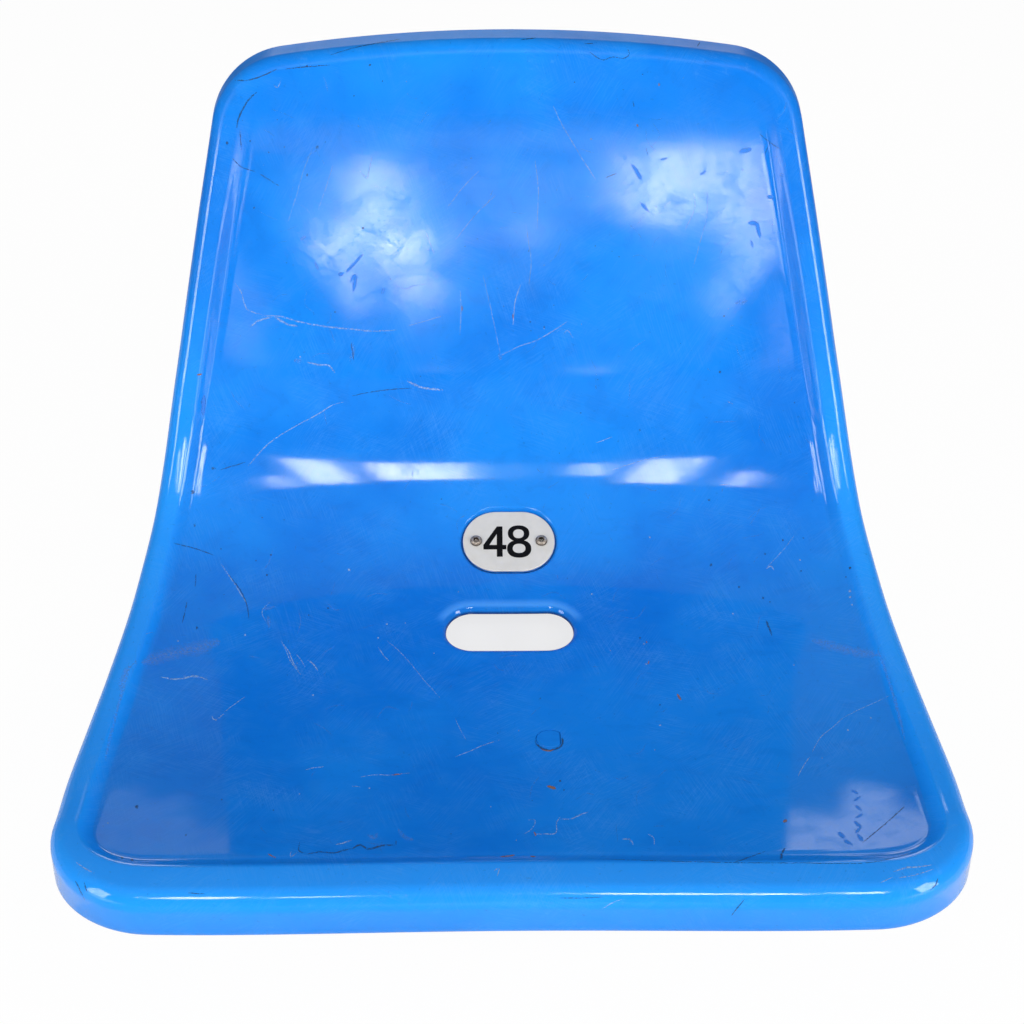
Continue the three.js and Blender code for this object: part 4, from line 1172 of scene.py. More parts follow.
class Shader:
    """A node material, or the world's nodes, in the making."""

    def __init__(self, name, owners=bpy.data.materials, output="ShaderNodeOutputMaterial"):
        self.owner = owners.new(name)
        self.owner.use_nodes = True
        self.tree = self.owner.node_tree
        self.tree.nodes.clear()
        self.output = self.add(output)

    def add(self, kind, inputs=None, **settings):
        """A node with its settings, and its inputs as values or as sockets to link."""
        node = self.tree.nodes.new(kind)
        for name, value in settings.items():
            setattr(node, name, value)
        for key, value in (inputs or {}).items():
            socket = node.inputs[key]
            if isinstance(value, bpy.types.NodeSocket):
                self.tree.links.new(value, socket)
            else:
                socket.default_value = value
        return node

    def place(self):
        """The place in the object's own metres."""
        return self.add("ShaderNodeTexCoord").outputs["Object"]

    def attribute(self, name):
        return self.add("ShaderNodeAttribute", attribute_name=name).outputs["Fac"]

    def math(self, operation, a, b=0.0, c=0.0, clamp=False):
        return self.add("ShaderNodeMath", {0: a, 1: b, 2: c}, operation=operation, use_clamp=clamp).outputs[0]

    def times(self, a, b, clamp=False):
        return self.math("MULTIPLY", a, b, clamp=clamp)

    def scaled(self, a, share, added):
        """A value times a share, plus another value."""
        return self.math("MULTIPLY_ADD", a, share, added)

    def ridge(self, noise):
        """How far a noise is from its middle, so that thin lines run where it is zero."""
        return self.math("ABSOLUTE", self.math("SUBTRACT", noise, 0.5))

    def vector(self, operation, a, b=(0, 0, 0)):
        return self.add("ShaderNodeVectorMath", {0: a, 1: b}, operation=operation).outputs["Vector"]

    def length(self, vector):
        return self.add("ShaderNodeVectorMath", {0: vector}, operation="LENGTH").outputs["Value"]

    def blend(self, factor, a, b):
        return self.add("ShaderNodeMix", {0: factor, 6: a, 7: b}, data_type="RGBA").outputs[2]

    def step(self, value, low, high, to_low=0.0, to_high=1.0):
        """A smooth step of a value from one level to another."""
        inputs = {"Value": value, "From Min": low, "From Max": high, "To Min": to_low, "To Max": to_high}
        return self.add("ShaderNodeMapRange", inputs, interpolation_type="SMOOTHSTEP").outputs["Result"]

    def band(self, value, low, full, still, gone, share=1.0):
        """A value that comes in over one stretch and fades over the next."""
        return self.times(self.step(value, low, full), self.step(value, still, gone, share, 0))

    def noise(self, vector, scale, detail=2.0, roughness=0.5, distortion=0.0):
        return self.add("ShaderNodeTexNoise", {
            "Vector": vector, "Scale": scale, "Detail": detail,
            "Roughness": roughness, "Distortion": distortion,
        }).outputs["Fac"]

    def stadium(self, flat, station, straight, radius):
        """Distance in metres outside a stadium outline of the developed surface."""
        away = self.vector("ABSOLUTE", self.vector("SUBTRACT", flat, (0, station, 0)))
        beyond = self.vector("MAXIMUM", self.vector("SUBTRACT", away, (straight, 0, 0)))
        return self.math("SUBTRACT", self.length(beyond), radius)

    def moved(self, vector, turn=0.0, stretch=(1, 1, 1), shift=(0, 0, 0)):
        return self.add("ShaderNodeMapping", {
            "Vector": vector, "Rotation": (0, 0, turn), "Scale": stretch, "Location": shift,
        }).outputs["Vector"]

    def bump(self, height, strength, distance, normal=None):
        inputs = {"Height": height, "Strength": strength, "Distance": distance}
        if normal is not None:
            inputs["Normal"] = normal
        return self.add("ShaderNodeBump", inputs).outputs["Normal"]

    def principled(self, **values):
        inputs = {name.replace("_", " "): value for name, value in values.items()}
        return self.add("ShaderNodeBsdfPrincipled", inputs).outputs[0]

    def mixed(self, share, first, second):
        """Two shaders, by the share of the second."""
        return self.add("ShaderNodeMixShader", {0: share, 1: first, 2: second}).outputs[0]

    def finished(self, shader):
        """The material or world, showing a shader."""
        self.tree.links.new(shader, self.output.inputs["Surface"])
        return self.owner


def shell_colour(make, flat, place, station, worn):
    """The blue with its fading, dirt and rubbed edges, painted shade on the front of the pan and round the
    plate and the slot, a painted highlight above the slot, and the shares that the gloss needs too.
    """
    base = make.blend(make.step(make.noise(place, *BROAD_NOISE), *BROAD_FADE), *SHELL_COLOURS)
    cloud = make.noise(make.moved(place, CLOUD_TURN, CLOUD_STRETCH), *CLOUD_NOISE)
    base = make.blend(make.step(cloud, *FADED_CLOUD), base, FADED_COLOUR)
    base = make.blend(make.step(cloud, *DEEP_CLOUD), base, DEEP_COLOUR)
    inside = make.math("SUBTRACT", 1.0, worn)
    # Painted shade: the front of the pan, inside the rim, is darkened
    pan_front_shade = make.times(inside, make.step(station, *PAN_FRONT_SHADE_STATIONS, PAN_FRONT_SHADE_SHARE, 0))
    base = make.blend(pan_front_shade, base, PAN_FRONT_SHADE_COLOUR)
    pale = make.times(worn, make.step(station, *PALE_RIM, RIM_SHARE, 0))
    base = make.blend(pale, base, RIM_COLOUR)
    dark_marks = make.step(make.noise(place, *GRIME_NOISE), *GRIME_LEVELS)
    base = make.blend(dark_marks, base, GRIME_COLOUR)
    rubbed = make.times(worn, make.step(make.noise(place, *RUBBED_NOISE), *RUBBED_LEVELS))
    base = make.blend(make.times(rubbed, RUBBED_SHARE), base, RUBBED_COLOUR)
    # Painted shade: a dark blue line hugging the plate, and round the slot's edge
    for outline, reach in ((PLATE_OUTLINE, PLATE_SHADE_REACH), (SLOT_OUTLINE, SLOT_SHADE_REACH)):
        near = make.band(make.stadium(flat, *outline), *reach)
        base = make.blend(make.times(near, PAINTED_GAP_SHADE_SHARE), base, PAINTED_GAP_SHADE_COLOUR)
    # Painted highlight: a paler blue band along the slot's upper edge
    above = make.step(station, *(SLOT_OUTLINE[0] + up for up in SLOT_HIGHLIGHT_ABOVE))
    edge = make.band(make.stadium(flat, *SLOT_OUTLINE), *SLOT_HIGHLIGHT_BAND, SLOT_HIGHLIGHT_SHARE)
    return make.blend(make.times(above, edge), base, SLOT_HIGHLIGHT_COLOUR), cloud, rubbed


def shell_material():
    """Glossy blue plastic, rubbed fine all over, worn at the rim and faded in broad patches."""
    make = Shader("worn_blue_plastic")
    flat = make.add("ShaderNodeUVMap", uv_map="developed").outputs[0]
    station = make.add("ShaderNodeSeparateXYZ", {0: flat}).outputs["Y"]
    place = make.place()
    base, cloud, rubbed = shell_colour(make, flat, place, station, make.attribute("rim_wear"))
    rough = make.step(cloud, *ROUGH_CLOUD, *ROUGHNESS)
    vein = make.ridge(make.noise(place, *VEIN_NOISE))
    normal = make.bump(vein, *VEIN_BUMP)
    gloss = make.times(make.step(vein, *VEIN_GLOSS), make.step(cloud, *CLOUD_GLOSS))
    for turn, stretch, shift in SCRATCH_SETS:
        turned_flat = make.moved(flat, turn, shift=(shift, 0, 0))
        lines = make.noise(make.moved(turned_flat, stretch=(stretch, SCRATCH_FINENESS, 1)), *SCRATCH_NOISE)
        groove = make.ridge(lines)
        normal = make.bump(make.step(groove, 0, GROOVE_WIDTH), *SCRATCH_BUMP, normal)
        patches = make.step(make.noise(turned_flat, *SCRATCH_PATCH_NOISE), *SCRATCH_PATCHES)
        scraped = make.times(make.step(groove, 0, GROOVE_WIDTH, 1, 0), patches)
        base = make.blend(make.times(scraped, SCRAPED_SHARE), base, SCRAPED_COLOUR)
        gloss = make.scaled(scraped, SCRAPED_GLOSS, gloss)
    pits = make.step(make.noise(place, *PIT_NOISE), *PIT_LEVELS)
    normal = make.bump(make.math("SUBTRACT", 1.0, pits), *PIT_BUMP, normal)
    normal = make.bump(make.noise(flat, *WAVE_NOISE), *WAVE_BUMP, normal)
    dull = make.step(station, *DULL_TOP)
    gloss = make.times(make.math("MAXIMUM", gloss, LEAST_GLOSS), make.scaled(dull, DULL_TOP_GLOSS, 1.0))
    gloss = make.times(gloss, make.step(station, *DULL_FLANGE, DULL_FLANGE_GLOSS, 1))
    bend = make.band(station, *RUBBED_BEND)
    for share, added in (
        (pits, PIT_ROUGHNESS), (rubbed, RUBBED_ROUGHNESS), (dull, DULL_ROUGHNESS), (bend, BEND_ROUGHNESS),
    ):
        rough = make.scaled(share, added, rough)
    return make.finished(make.principled(
        Base_Color=base, Roughness=rough, IOR=SHELL_IOR, Specular_IOR_Level=gloss, Normal=normal,
    ))


# Noises of the marks' colour, breaks and relief, and of how the marks fade and break up
MARK_NOISE = (1100, 3, 0.6)
BREAK_NOISE = (900, 4, 0.7)
MARK_RELIEF = (2600, 2)
MARK_BUMP = (0.4, 0.00006)
BREAK_WIDTH = 0.14
FADE_POWER = 0.7
# Dark and light colour, roughness, cover and the level of noise about which each kind breaks up
MARK_LOOKS = {
    "pale_scratches": (colour(104, 160, 220), colour(168, 200, 232), 0.5, 1.0, 0.48),
    # Pale haze: worn patches and scratches, with painted highlights along the sides of the pan
    "worn_haze_and_painted_highlights": (colour(84, 144, 214), colour(140, 170, 210), 0.6, 0.4, 0.5),
    # Dark marks: grime, and the painted shade along the front lip's crease
    "dark_marks": (colour(20, 42, 70), colour(48, 84, 118), 0.7, 1.1, 0.47),
    "rust_specks": (colour(112, 78, 50), colour(160, 118, 78), 0.8, 1.3, 0.4),
    "dull_dabs": (colour(24, 116, 216), colour(52, 134, 226), 0.55, 1.8, 0.38),
}


def mark_material(name, dark, light, roughness, cover, breaks):
    """A thin mark that fades at its edges and breaks up along its length."""
    make = Shader(name)
    place = make.place()
    base = make.blend(make.noise(place, *MARK_NOISE), dark, light)
    broken = make.step(make.noise(place, *BREAK_NOISE), breaks - BREAK_WIDTH, breaks + BREAK_WIDTH)
    share = make.times(make.math("POWER", make.attribute("mark_strength"), FADE_POWER), broken)
    share = make.times(share, cover, clamp=True)
    normal = make.bump(make.noise(place, *MARK_RELIEF), *MARK_BUMP)
    mark = make.principled(Base_Color=base, Roughness=roughness, Normal=normal, IOR=SHELL_IOR)
    clear = make.add("ShaderNodeBsdfTransparent").outputs[0]
    return make.finished(make.mixed(share, clear, mark))


PLATE_COLOURS = (colour(214, 211, 203), colour(232, 229, 222))
PLATE_NOISE = (160, 3)
PLATE_GRAIN = (2200, 2)
PLATE_BUMP = (0.1, 0.00005)
INK_COLOURS = (colour(3, 3, 4), colour(12, 11, 12))
INK_NOISE = (700, 3)


def plate_material():
    make = Shader("silver_lacquered_plate")
    place = make.place()
    base = make.blend(make.noise(place, *PLATE_NOISE), *PLATE_COLOURS)
    normal = make.bump(make.noise(place, *PLATE_GRAIN), *PLATE_BUMP)
    return make.finished(make.principled(Base_Color=base, Metallic=0.2, Roughness=0.42, Normal=normal))


def ink_material():
    make = Shader("black_ink")
    base = make.blend(make.noise(make.place(), *INK_NOISE), *INK_COLOURS)
    return make.finished(make.principled(Base_Color=base, Roughness=0.5, Specular_IOR_Level=0.15))


# Painted shade that darkens the foot of a rivet's head and its bore, over the radius
RIVET_SHADE_COLOUR = colour(26, 21, 18)
RIVET_SHADE_BY_RADIUS = ((1.25, 1.0), (1.5, 0.7), (1.8, 0.1), (2.7, 0.0), (3.1, 0.45), (3.36, 0.9))
RIVET_SHADE_ROUGHNESS = 0.2
# Clouds of the metals' tarnish: detail and roughness of their noise, and the levels they run over
METAL_DETAIL = (4, 0.6)
METAL_FADE = (0.35, 0.65)
METAL_POLISH = (0.3, 0.7)
METAL_ROUGHNESS = 0.12
# Fine marks: how much finer than the clouds, their noise, and their relief
METAL_FINENESS = 6
METAL_MARKS = (3, 0.6)
METAL_BUMP = (0.2, 0.0001)
# Name, dark and light colour, roughness, scale of the clouds, then metallic and specular shares
METAL_LOOKS = {
    "insert": ("insert_brass", colour(120, 88, 40), colour(196, 160, 88), 0.35, 300),
    "fastener": ("zinc_plated_steel", colour(150, 152, 154), colour(208, 210, 212), 0.38, 260, 0.55),
    "bracket": ("galvanised_steel", colour(150, 155, 159), colour(198, 202, 206), 0.5, 70, 0.45),
    "rivet": ("rivet_aluminium", colour(128, 114, 100), colour(196, 186, 174), 0.42, 900, 0.5),
    "mandrel_left": ("mandrel_steel", colour(120, 106, 94), colour(196, 186, 174), 0.45, 1200, 0.5),
    # The dropped mandrel is near black and without gloss: a painted shade for the dark bore of the right
    # rivet
    "mandrel_right": ("mandrel_steel_painted_dark", colour(14, 11, 9), colour(30, 25, 22), 0.8, 1200, 0, 0),
}


def metal_material(name, dark, light, roughness, scale, metallic=0.9, specular=0.5):
    """Metal with cloudy tarnish and fine marks."""
    make = Shader(name)
    place = make.place()
    cloud = make.noise(place, scale, *METAL_DETAIL)
    # Painted shade of the rivets: darker, less metallic, less glossy and rougher in the bore and at the foot
    # of the head
    rivet_shade = make.attribute("painted_rivet_shade")
    base = make.blend(make.step(cloud, *METAL_FADE), dark, light)
    base = make.blend(rivet_shade, base, RIVET_SHADE_COLOUR)
    shine = make.scaled(rivet_shade, -metallic, metallic)
    gloss = make.scaled(rivet_shade, -specular, specular)
    rough = make.step(cloud, *METAL_POLISH, roughness + METAL_ROUGHNESS, roughness)
    rough = make.scaled(rivet_shade, RIVET_SHADE_ROUGHNESS, rough)
    normal = make.bump(make.noise(place, scale * METAL_FINENESS, *METAL_MARKS), *METAL_BUMP)
    return make.finished(make.principled(
        Base_Color=base, Metallic=shine, Roughness=rough, Specular_IOR_Level=gloss, Normal=normal,
    ))


# Camera as fitted to the photograph, in pixels, degrees and shell millimetres
FRAME_WIDTH = 1024
FOCAL_PIXELS = 1695.26
SENSOR = 36
CLIP_START = 0.01
CAMERA_DEPRESSION = 38.1737
CAMERA_ROLL = -0.14135
CAMERA_YAW = 0.69137
CAMERA_PLACE = (-7.25, -508.74, 600.36)


def camera_axes():
    """Forward, right and down directions of the camera."""
    down_tilt = math.radians(CAMERA_DEPRESSION)
    yaw = math.radians(CAMERA_YAW)
    roll = math.radians(CAMERA_ROLL)
    forward = np.array([
        math.sin(yaw) * math.cos(down_tilt), math.cos(yaw) * math.cos(down_tilt), -math.sin(down_tilt),
    ])
    right = np.cross(forward, [0, 0, 1])
    right = right / np.linalg.norm(right)
    down = np.cross(forward, right)
    turned_right = math.cos(roll) * right + math.sin(roll) * down
    turned_down = -math.sin(roll) * right + math.cos(roll) * down
    return forward, turned_right, turned_down


def add_camera():
    forward, right, down = camera_axes()
    data = bpy.data.cameras.new("photo_camera")
    data.sensor_fit = "HORIZONTAL"
    data.sensor_width = SENSOR
    data.lens = FOCAL_PIXELS * SENSOR / FRAME_WIDTH
    data.clip_start = CLIP_START
    camera = bpy.data.objects.new("photo_camera", data)
    bpy.context.scene.collection.objects.link(camera)
    turn = Matrix([list(right), list(-down), list(-forward)]).transposed()
    place = (np.array(CAMERA_PLACE) + SHIFT) * MM
    camera.matrix_world = Matrix.Translation(Vector(place)) @ turn.to_4x4()
    bpy.context.scene.camera = camera


# Studio: floor, world and lamps
# Share of plain white that the camera sees: under the seat, where its shadow stays, and away from it
GLOW_UNDER_SEAT = 0.74
GLOW_AROUND = 0.97
GLOW_REACH = (0.2, 0.17)
GLOW_EDGE = (0.5, 1.05)
# Distances over which the floor stops showing white in the gloss of the seat
GLOSS_FADE = (0.7, 1.6)
GLOSS_SHARE = 0.14
NEAR_FLOOR = (0.9, 0.9, 0.9, 1)
FAR_FLOOR = (0.2, 0.2, 0.2, 1)
FLOOR_REACH = 40


def add_floor():
    far = FLOOR_REACH
    mesh = bpy.data.meshes.new("studio_floor")
    mesh.from_pydata([(-far, -far, 0), (far, -far, 0), (far, far, 0), (-far, far, 0)], [], [(0, 1, 2, 3)])
    floor = bpy.data.objects.new("studio_floor", mesh)
    bpy.context.scene.collection.objects.link(floor)
    make = Shader("pale_floor")
    place = make.place()
    near = make.step(make.length(place), *GLOSS_FADE, 1, 0)
    grey = make.blend(near, FAR_FLOOR, NEAR_FLOOR)
    matte = make.add("ShaderNodeBsdfDiffuse", {"Color": grey}).outputs[0]
    path = make.add("ShaderNodeLightPath").outputs
    mirrored = make.math("MAXIMUM", path["Is Glossy Ray"], path["Is Transmission Ray"])
    seen = make.math("MAXIMUM", path["Is Camera Ray"], make.times(mirrored, make.times(near, GLOSS_SHARE)))
    reach = make.vector("DIVIDE", place, (*GLOW_REACH, 1))
    white = make.step(make.length(reach), *GLOW_EDGE, GLOW_UNDER_SEAT, GLOW_AROUND)
    glow = make.add("ShaderNodeEmission", {"Color": (1, 1, 1, 1), "Strength": 1}).outputs[0]
    above = make.mixed(make.times(seen, white), matte, glow)
    clear = make.add("ShaderNodeBsdfTransparent").outputs[0]
    below = make.add("ShaderNodeNewGeometry").outputs["Backfacing"]
    mesh.materials.append(make.finished(make.mixed(below, above, clear)))


# Sine of the elevation and the grey level of the world there
WORLD_LEVELS = [(0.02, 0.3), (0.2, 0.26), (0.4, 0.1), (0.8, 0.3)]
# Share of plain white that each kind of ray sees of the world at least
WORLD_RAYS = {"Is Camera Ray": 1, "Is Glossy Ray": 0.14, "Is Transmission Ray": 0.14}


def add_world():
    make = Shader("studio", bpy.data.worlds, "ShaderNodeOutputWorld")
    bpy.context.scene.world = make.owner
    direction = make.add("ShaderNodeTexCoord").outputs["Generated"]
    ramp = make.add("ShaderNodeValToRGB", {0: make.add("ShaderNodeSeparateXYZ", {0: direction}).outputs["Z"]})
    elements = ramp.color_ramp.elements
    while len(elements) < len(WORLD_LEVELS):
        elements.new(0.5)
    for element, (position, level) in zip(elements, WORLD_LEVELS):
        element.position = position
        element.color = (level, level, level, 1)
    level = ramp.outputs[0]
    path = make.add("ShaderNodeLightPath").outputs
    for ray, share in WORLD_RAYS.items():
        level = make.math("MAXIMUM", level, make.times(path[ray], share))
    make.finished(make.add("ShaderNodeBackground", {"Color": level, "Strength": 1}).outputs[0])
    bpy.context.scene.view_settings.view_transform = "Standard"


KEY_PLACE = -1.9
REAR_PLACE = 2.0
# Upright soft panels before and behind the seat: spans across and in height, place along Y, radiance
UPRIGHT_PANELS = {
    "key_right": ((0.09, 0.39), (1.66, 2.3), KEY_PLACE, 20),
    "key_right_middle": ((0.5, 0.69), (1.6, 2.4), KEY_PLACE, 19),
    "key_right_far": ((0.76, 0.86), (2.0, 2.5), KEY_PLACE, 10),
    "key_left_inner": ((-0.23, -0.12), (1.7, 2.15), KEY_PLACE, 12),
    "key_left": ((-0.54, -0.32), (1.6, 2.5), KEY_PLACE, 18),
    "key_left_far": ((-0.83, -0.74), (1.95, 2.5), KEY_PLACE, 14),
    "rear_right": ((0.53, 0.6), (1.0, 1.42), REAR_PLACE, 2.4),
    "rear_right_inner": ((0.45, 0.53), (1.0, 1.24), REAR_PLACE, 2.4),
    "rear_right_outer": ((0.6, 0.78), (1.0, 1.34), REAR_PLACE, 2.4),
    "rear_left": ((-0.72, -0.53), (1.0, 1.46), REAR_PLACE, 0.6),
    "rear_left_middle": ((-0.53, -0.47), (1.0, 1.36), REAR_PLACE, 0.6),
    "rear_left_inner": ((-0.47, -0.4), (1.0, 1.2), REAR_PLACE, 0.6),
    "rear_low": ((-0.6, 0.6), (0.15, 0.6), 2.2, 3),
}
# Low panels with grids, aimed at the upper back: span across, span in height, radiance, aim across
LOW_PANELS = {
    "low_right": ((0.027, 0.054), (0.066, 0.13), 33, -0.07),
    "low_right_outer": ((0.055, 0.09), (0.075, 0.12), 5, -0.16),
    "low_right_bar": ((0.02, 0.052), (0.032, 0.052), 95, -0.07),
    "low_right_bar_outer": ((0.05, 0.098), (0.05, 0.07), 62, -0.12),
    "low_left": ((-0.05, -0.01), (0.074, 0.15), 33, 0.05),
    "low_left_side": ((-0.09, -0.05), (0.088, 0.143), 26, 0.13),
    "low_left_outer": ((-0.14, -0.09), (0.08, 0.112), 28, 0.16),
    "low_glow_right": ((0.17, 0.27), (0.09, 0.15), 12, -0.18),
    "low_glow_left": ((-0.27, -0.17), (0.11, 0.17), 12, 0.18),
}
LOW_PLACE = -1.3
LOW_AIM = (0.0, 0.322)
LOW_SPREAD = 16.4
# Low panels close beside the seat, each for the fillet across, as the side panels below
FILLET_PANELS = {
    "fillet_right": ((-0.9, -0.3), (0.01, 0.12), 0.5, 5),
    "fillet_left": ((-0.9, -0.3), (0.01, 0.12), -0.5, 5),
}
FILLET_AIM = (-0.34, 0.1, 0.25)
FILLET_SPREAD = 50
# Upright soft panels beside the seat: spans along Y and in height, place along X, radiance
SIDE_PANELS = {
    "side_right": ((-1.9, -1.0), (0.3, 1.9), 1.9, 10),
    "side_left": ((-1.9, -1.0), (0.3, 1.9), -1.9, 8),
}


def add_panel(name, across, height, distance, radiance, sideways=False):
    """A soft upright panel at a place along Y, or along X if sideways, that faces the seat."""
    data = bpy.data.lights.new(name, "AREA")
    data.shape = "RECTANGLE"
    data.size = across[1] - across[0]
    data.size_y = height[1] - height[0]
    data.energy = radiance * math.pi * data.size * data.size_y
    lamp = bpy.data.objects.new(name, data)
    bpy.context.scene.collection.objects.link(lamp)
    middle = sum(across) / 2
    level = sum(height) / 2
    place = Vector((distance, middle, level) if sideways else (middle, distance, level))
    facing = Vector((-distance, 0, 0) if sideways else (0, -distance, 0))
    lamp.matrix_world = Matrix.Translation(place) @ facing.to_track_quat("-Z", "Y").to_matrix().to_4x4()
    lamp.visible_camera = False
    return lamp


def aim_panel(lamp, target, spread):
    """Turns a panel towards a place, with a grid that keeps its light to a narrow beam."""
    place = lamp.matrix_world.translation.copy()
    turn = (Vector(target) - place).to_track_quat("-Z", "Y")
    lamp.matrix_world = Matrix.Translation(place) @ turn.to_matrix().to_4x4()
    half = math.radians(spread) / 2
    lamp.data.spread = 2 * half
    lamp.data.energy *= 1 - half / math.tan(half)


def add_lamps():
    for name, panel in UPRIGHT_PANELS.items():
        add_panel(name, *panel)
    for name, (across, height, radiance, aim) in LOW_PANELS.items():
        lamp = add_panel(name, across, height, LOW_PLACE, radiance)
        aim_panel(lamp, (aim, *LOW_AIM), LOW_SPREAD)
    for name, panel in FILLET_PANELS.items():
        lamp = add_panel(name, *panel, sideways=True)
        reach, depth, height = FILLET_AIM
        aim_panel(lamp, (reach * panel[2], depth, height), FILLET_SPREAD)
    for name, panel in SIDE_PANELS.items():
        add_panel(name, *panel, sideways=True)


class MarkTracer:
    """Builds thin marks on the shell from points of the photograph."""

    def __init__(self, points, faces):
        self.tree = BVHTree.FromPolygons(points.tolist(), [list(map(int, f)) for f in faces])
        self.start = Vector(CAMERA_PLACE)
        self.axes = camera_axes()
        self.random = random.Random(RANDOM_SEED)

    def place(self, pixel):
        """The place on the shell seen at a pixel, just off its surface, or None."""
        forward, right, down = self.axes
        x, y = pixel - FRAME_WIDTH / 2
        ray = Vector(forward * FOCAL_PIXELS + right * x + down * y)
        hit, normal, _, _ = self.tree.ray_cast(self.start, ray.normalized())
        if hit is None:
            return None
        return hit + normal * (-MARK_LIFT if normal.dot(ray) > 0 else MARK_LIFT)

    def smoothed(self, stroke):
        """Even points along a stroke, with a slight wander."""
        stroke = np.array(stroke, float).reshape(-1, 2)
        length = np.concatenate([[0], np.cumsum(np.hypot(*np.diff(stroke, axis=0).T))])
        count = max(int(length[-1] / STROKE_STEP), LEAST_STROKE_STEPS)
        at = np.linspace(0, length[-1], count + 1)
        if len(stroke) == 2:
            line = [np.interp(at, length, values) for values in stroke.T]
        else:
            line = [read_table(length, values, at) for values in stroke.T]
        wander = np.array([[self.random.gauss(0, 1), self.random.gauss(0, 1)] for _ in at])
        return np.stack(line, 1) + wander * STROKE_WANDER

    def ribbon(self, width, stroke):
        """Points, centre strengths and faces of one tapered stroke."""
        line = self.smoothed(stroke)
        along = np.gradient(line, axis=0)
        side = np.stack([-along[:, 1], along[:, 0]], 1)
        side /= np.maximum(np.linalg.norm(side, axis=1, keepdims=True), LEAST_LENGTH)
        share = np.linspace(0, 1, len(line))
        taper = np.minimum(np.minimum(share, 1 - share) * TAPER_PART, 1) ** TAPER_POWER
        points = []
        for middle, across, half in zip(line, side, width * mix(END_WIDTH, 1, taper)):
            reach = half * self.random.uniform(*STROKE_SPREAD)
            for offset in (-1, 0, 1):
                points.append(self.place(middle + across * offset * reach))
                if points[-1] is None:
                    return None
        faces = []
        for low in range(0, 3 * len(line) - 3, 3):
            faces += [(low, low + 1, low + 4, low + 3), (low + 1, low + 2, low + 5, low + 4)]
        return self.checked(points, [0.0, 1.0, 0.0] * len(line), faces)

    def blot(self, x, y, radius, spokes=BLOT_SPOKES):
        """Points, strengths and faces of one small ragged spot."""
        middle = np.array([x, y], float)
        points = [self.place(middle)]
        for reach, _ in BLOT_RINGS:
            for angle in np.arange(spokes) / spokes * TAU:
                ragged = radius * reach * self.random.uniform(*BLOT_SPREAD)
                points.append(self.place(middle + ragged * np.array([math.cos(angle), math.sin(angle)])))
        faces = []
        for k in range(spokes):
            n = (k + 1) % spokes
            faces += [(0, 1 + n, 1 + k), (1 + k, 1 + n, 1 + spokes + n, 1 + spokes + k)]
        strengths = [1.0] + [strength for _, strength in BLOT_RINGS for _ in range(spokes)]
        return self.checked(points, strengths, faces)

    def checked(self, points, strengths, faces):
        """The mark, unless it would leave the shell or bridge a step of its surface."""
        if None in points:
            return None
        for face in faces:
            if any((points[a] - points[b]).length > LONGEST_EDGE for a, b in zip(face, face[1:] + face[:1])):
                return None
        return np.array([list(p) for p in points]), strengths, faces

    def speck(self, x, y):
        return self.blot(x, y, self.random.uniform(*SPECK_RADIUS), SPECK_SPOKES)

    def scratch(self, x, y):
        angle = self.random.gauss(*SCRATCH_TURN)
        reach = self.random.uniform(*SCRATCH_LENGTH)
        bend = self.random.gauss(0, SCRATCH_BEND) * reach
        end = (x + reach * math.cos(angle), y + reach * math.sin(angle))
        middle = ((x + end[0]) / 2 - bend * math.sin(angle), (y + end[1]) / 2 + bend * math.cos(angle))
        return self.ribbon(self.random.uniform(*SCRATCH_WIDTH), ((x, y), middle, end))

    def scattered(self, count, mark):
        """Small marks at random places of the seating side."""
        return [mark(*(self.random.uniform(*span) for span in RANDOM_AREA)) for _ in range(count)]


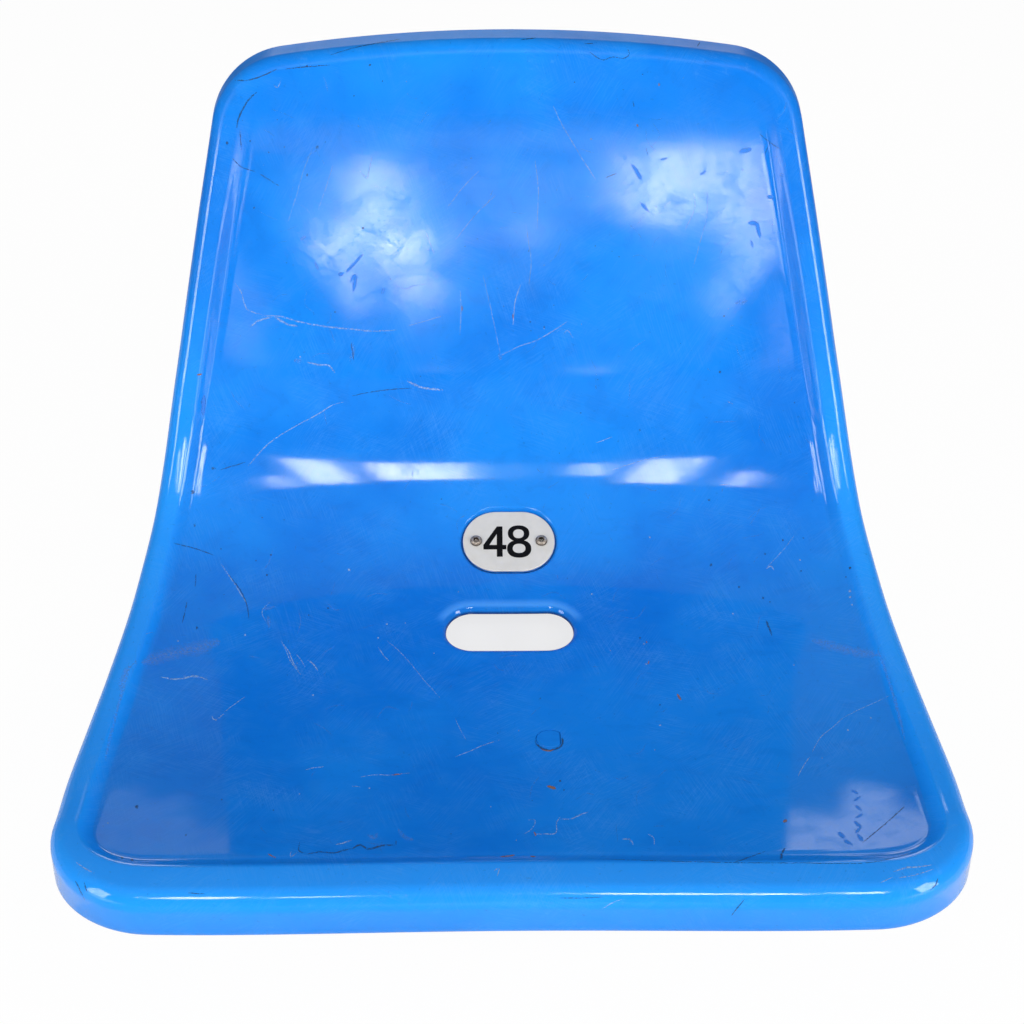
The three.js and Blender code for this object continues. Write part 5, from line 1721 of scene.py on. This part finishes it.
def build_marks(points, faces):
    """All marks of wear, painted shade and painted highlights, one mesh for each kind."""
    looks = {name: mark_material(name, *look) for name, look in MARK_LOOKS.items()}
    tracer = MarkTracer(points, faces)

    def ribbons(strokes, share=STROKE_SHARE):
        return [tracer.ribbon(width * share, stroke) for width, *stroke in strokes]

    def blots(places):
        return [tracer.blot(x, y, radius * BLOT_SHARE) for x, y, radius in places]

    kinds = {
        "pale_scratches": ribbons(PALE_STROKES, PALE_STROKE_SHARE) + blots(PALE_BLOTS)
        + tracer.scattered(RANDOM_SPECKS // 3, tracer.speck),
        "worn_haze_and_painted_highlights": ribbons(PALE_HAZE_AND_PAINTED_HIGHLIGHTS) + tracer.scattered(RANDOM_SCRATCHES, tracer.scratch),
        "dark_marks": ribbons(DARK_STROKES_AND_CREASE_SHADE) + blots(DARK_BLOTS) + tracer.scattered(RANDOM_SPECKS, tracer.speck),
        "rust_specks": ribbons(RUST_STROKES),
        "dull_dabs": ribbons(DULL_STROKES),
    }
    for name, marks in kinds.items():
        marks = [mark for mark in marks if mark is not None]
        piece = make_object(name, *joined([(spots, spot_faces) for spots, _, spot_faces in marks]))
        set_attribute(piece, "mark_strength", np.concatenate([strengths for _, strengths, _ in marks]))
        finish_piece(piece, "shell", looks[name])


# Start of a CAD node's name and the metal it is made of
NODE_METALS = {
    "threaded_insert": "insert", "bolt": "fastener", "flat_washer": "fastener",
    "spring_washer": "fastener", "bracket": "bracket",
}


def dress_cad_nodes(metals):
    """Materials for the CAD nodes that stay: inserts, fasteners and brackets."""
    for name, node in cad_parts.items():
        for start, kind in NODE_METALS.items():
            if name.startswith(start):
                node.data.materials.clear()
                node.data.materials.append(metals[kind])


def build_seat():
    plastic = shell_material()
    metals = {kind: metal_material(*look) for kind, look in METAL_LOOKS.items()}
    ink = ink_material()
    shell, points, faces = build_shell()
    finish_piece(shell, "shell", plastic, "seat_shell")
    build_marks(points, faces)
    finish_piece(build_plate(), "plate", plate_material(), "number_plate")
    for digit in build_digits():
        finish_piece(digit, "plate", ink)
    for side, depth in (("left", LEFT_MANDREL_DEPTH), ("right", RIGHT_MANDREL_DEPTH)):
        finish_piece(build_rivet(side), "rivet", metals["rivet"], f"plate_rivet_{side}")
        mandrel = build_mandrel(side, depth)
        finish_piece(mandrel, "mandrel", metals[f"mandrel_{side}"], f"rivet_mandrel_{side}")
    finish_piece(build_plug(), "shell", plastic, "pan_plug")
    dress_cad_nodes(metals)


add_camera()
add_floor()
add_world()
add_lamps()
build_seat()
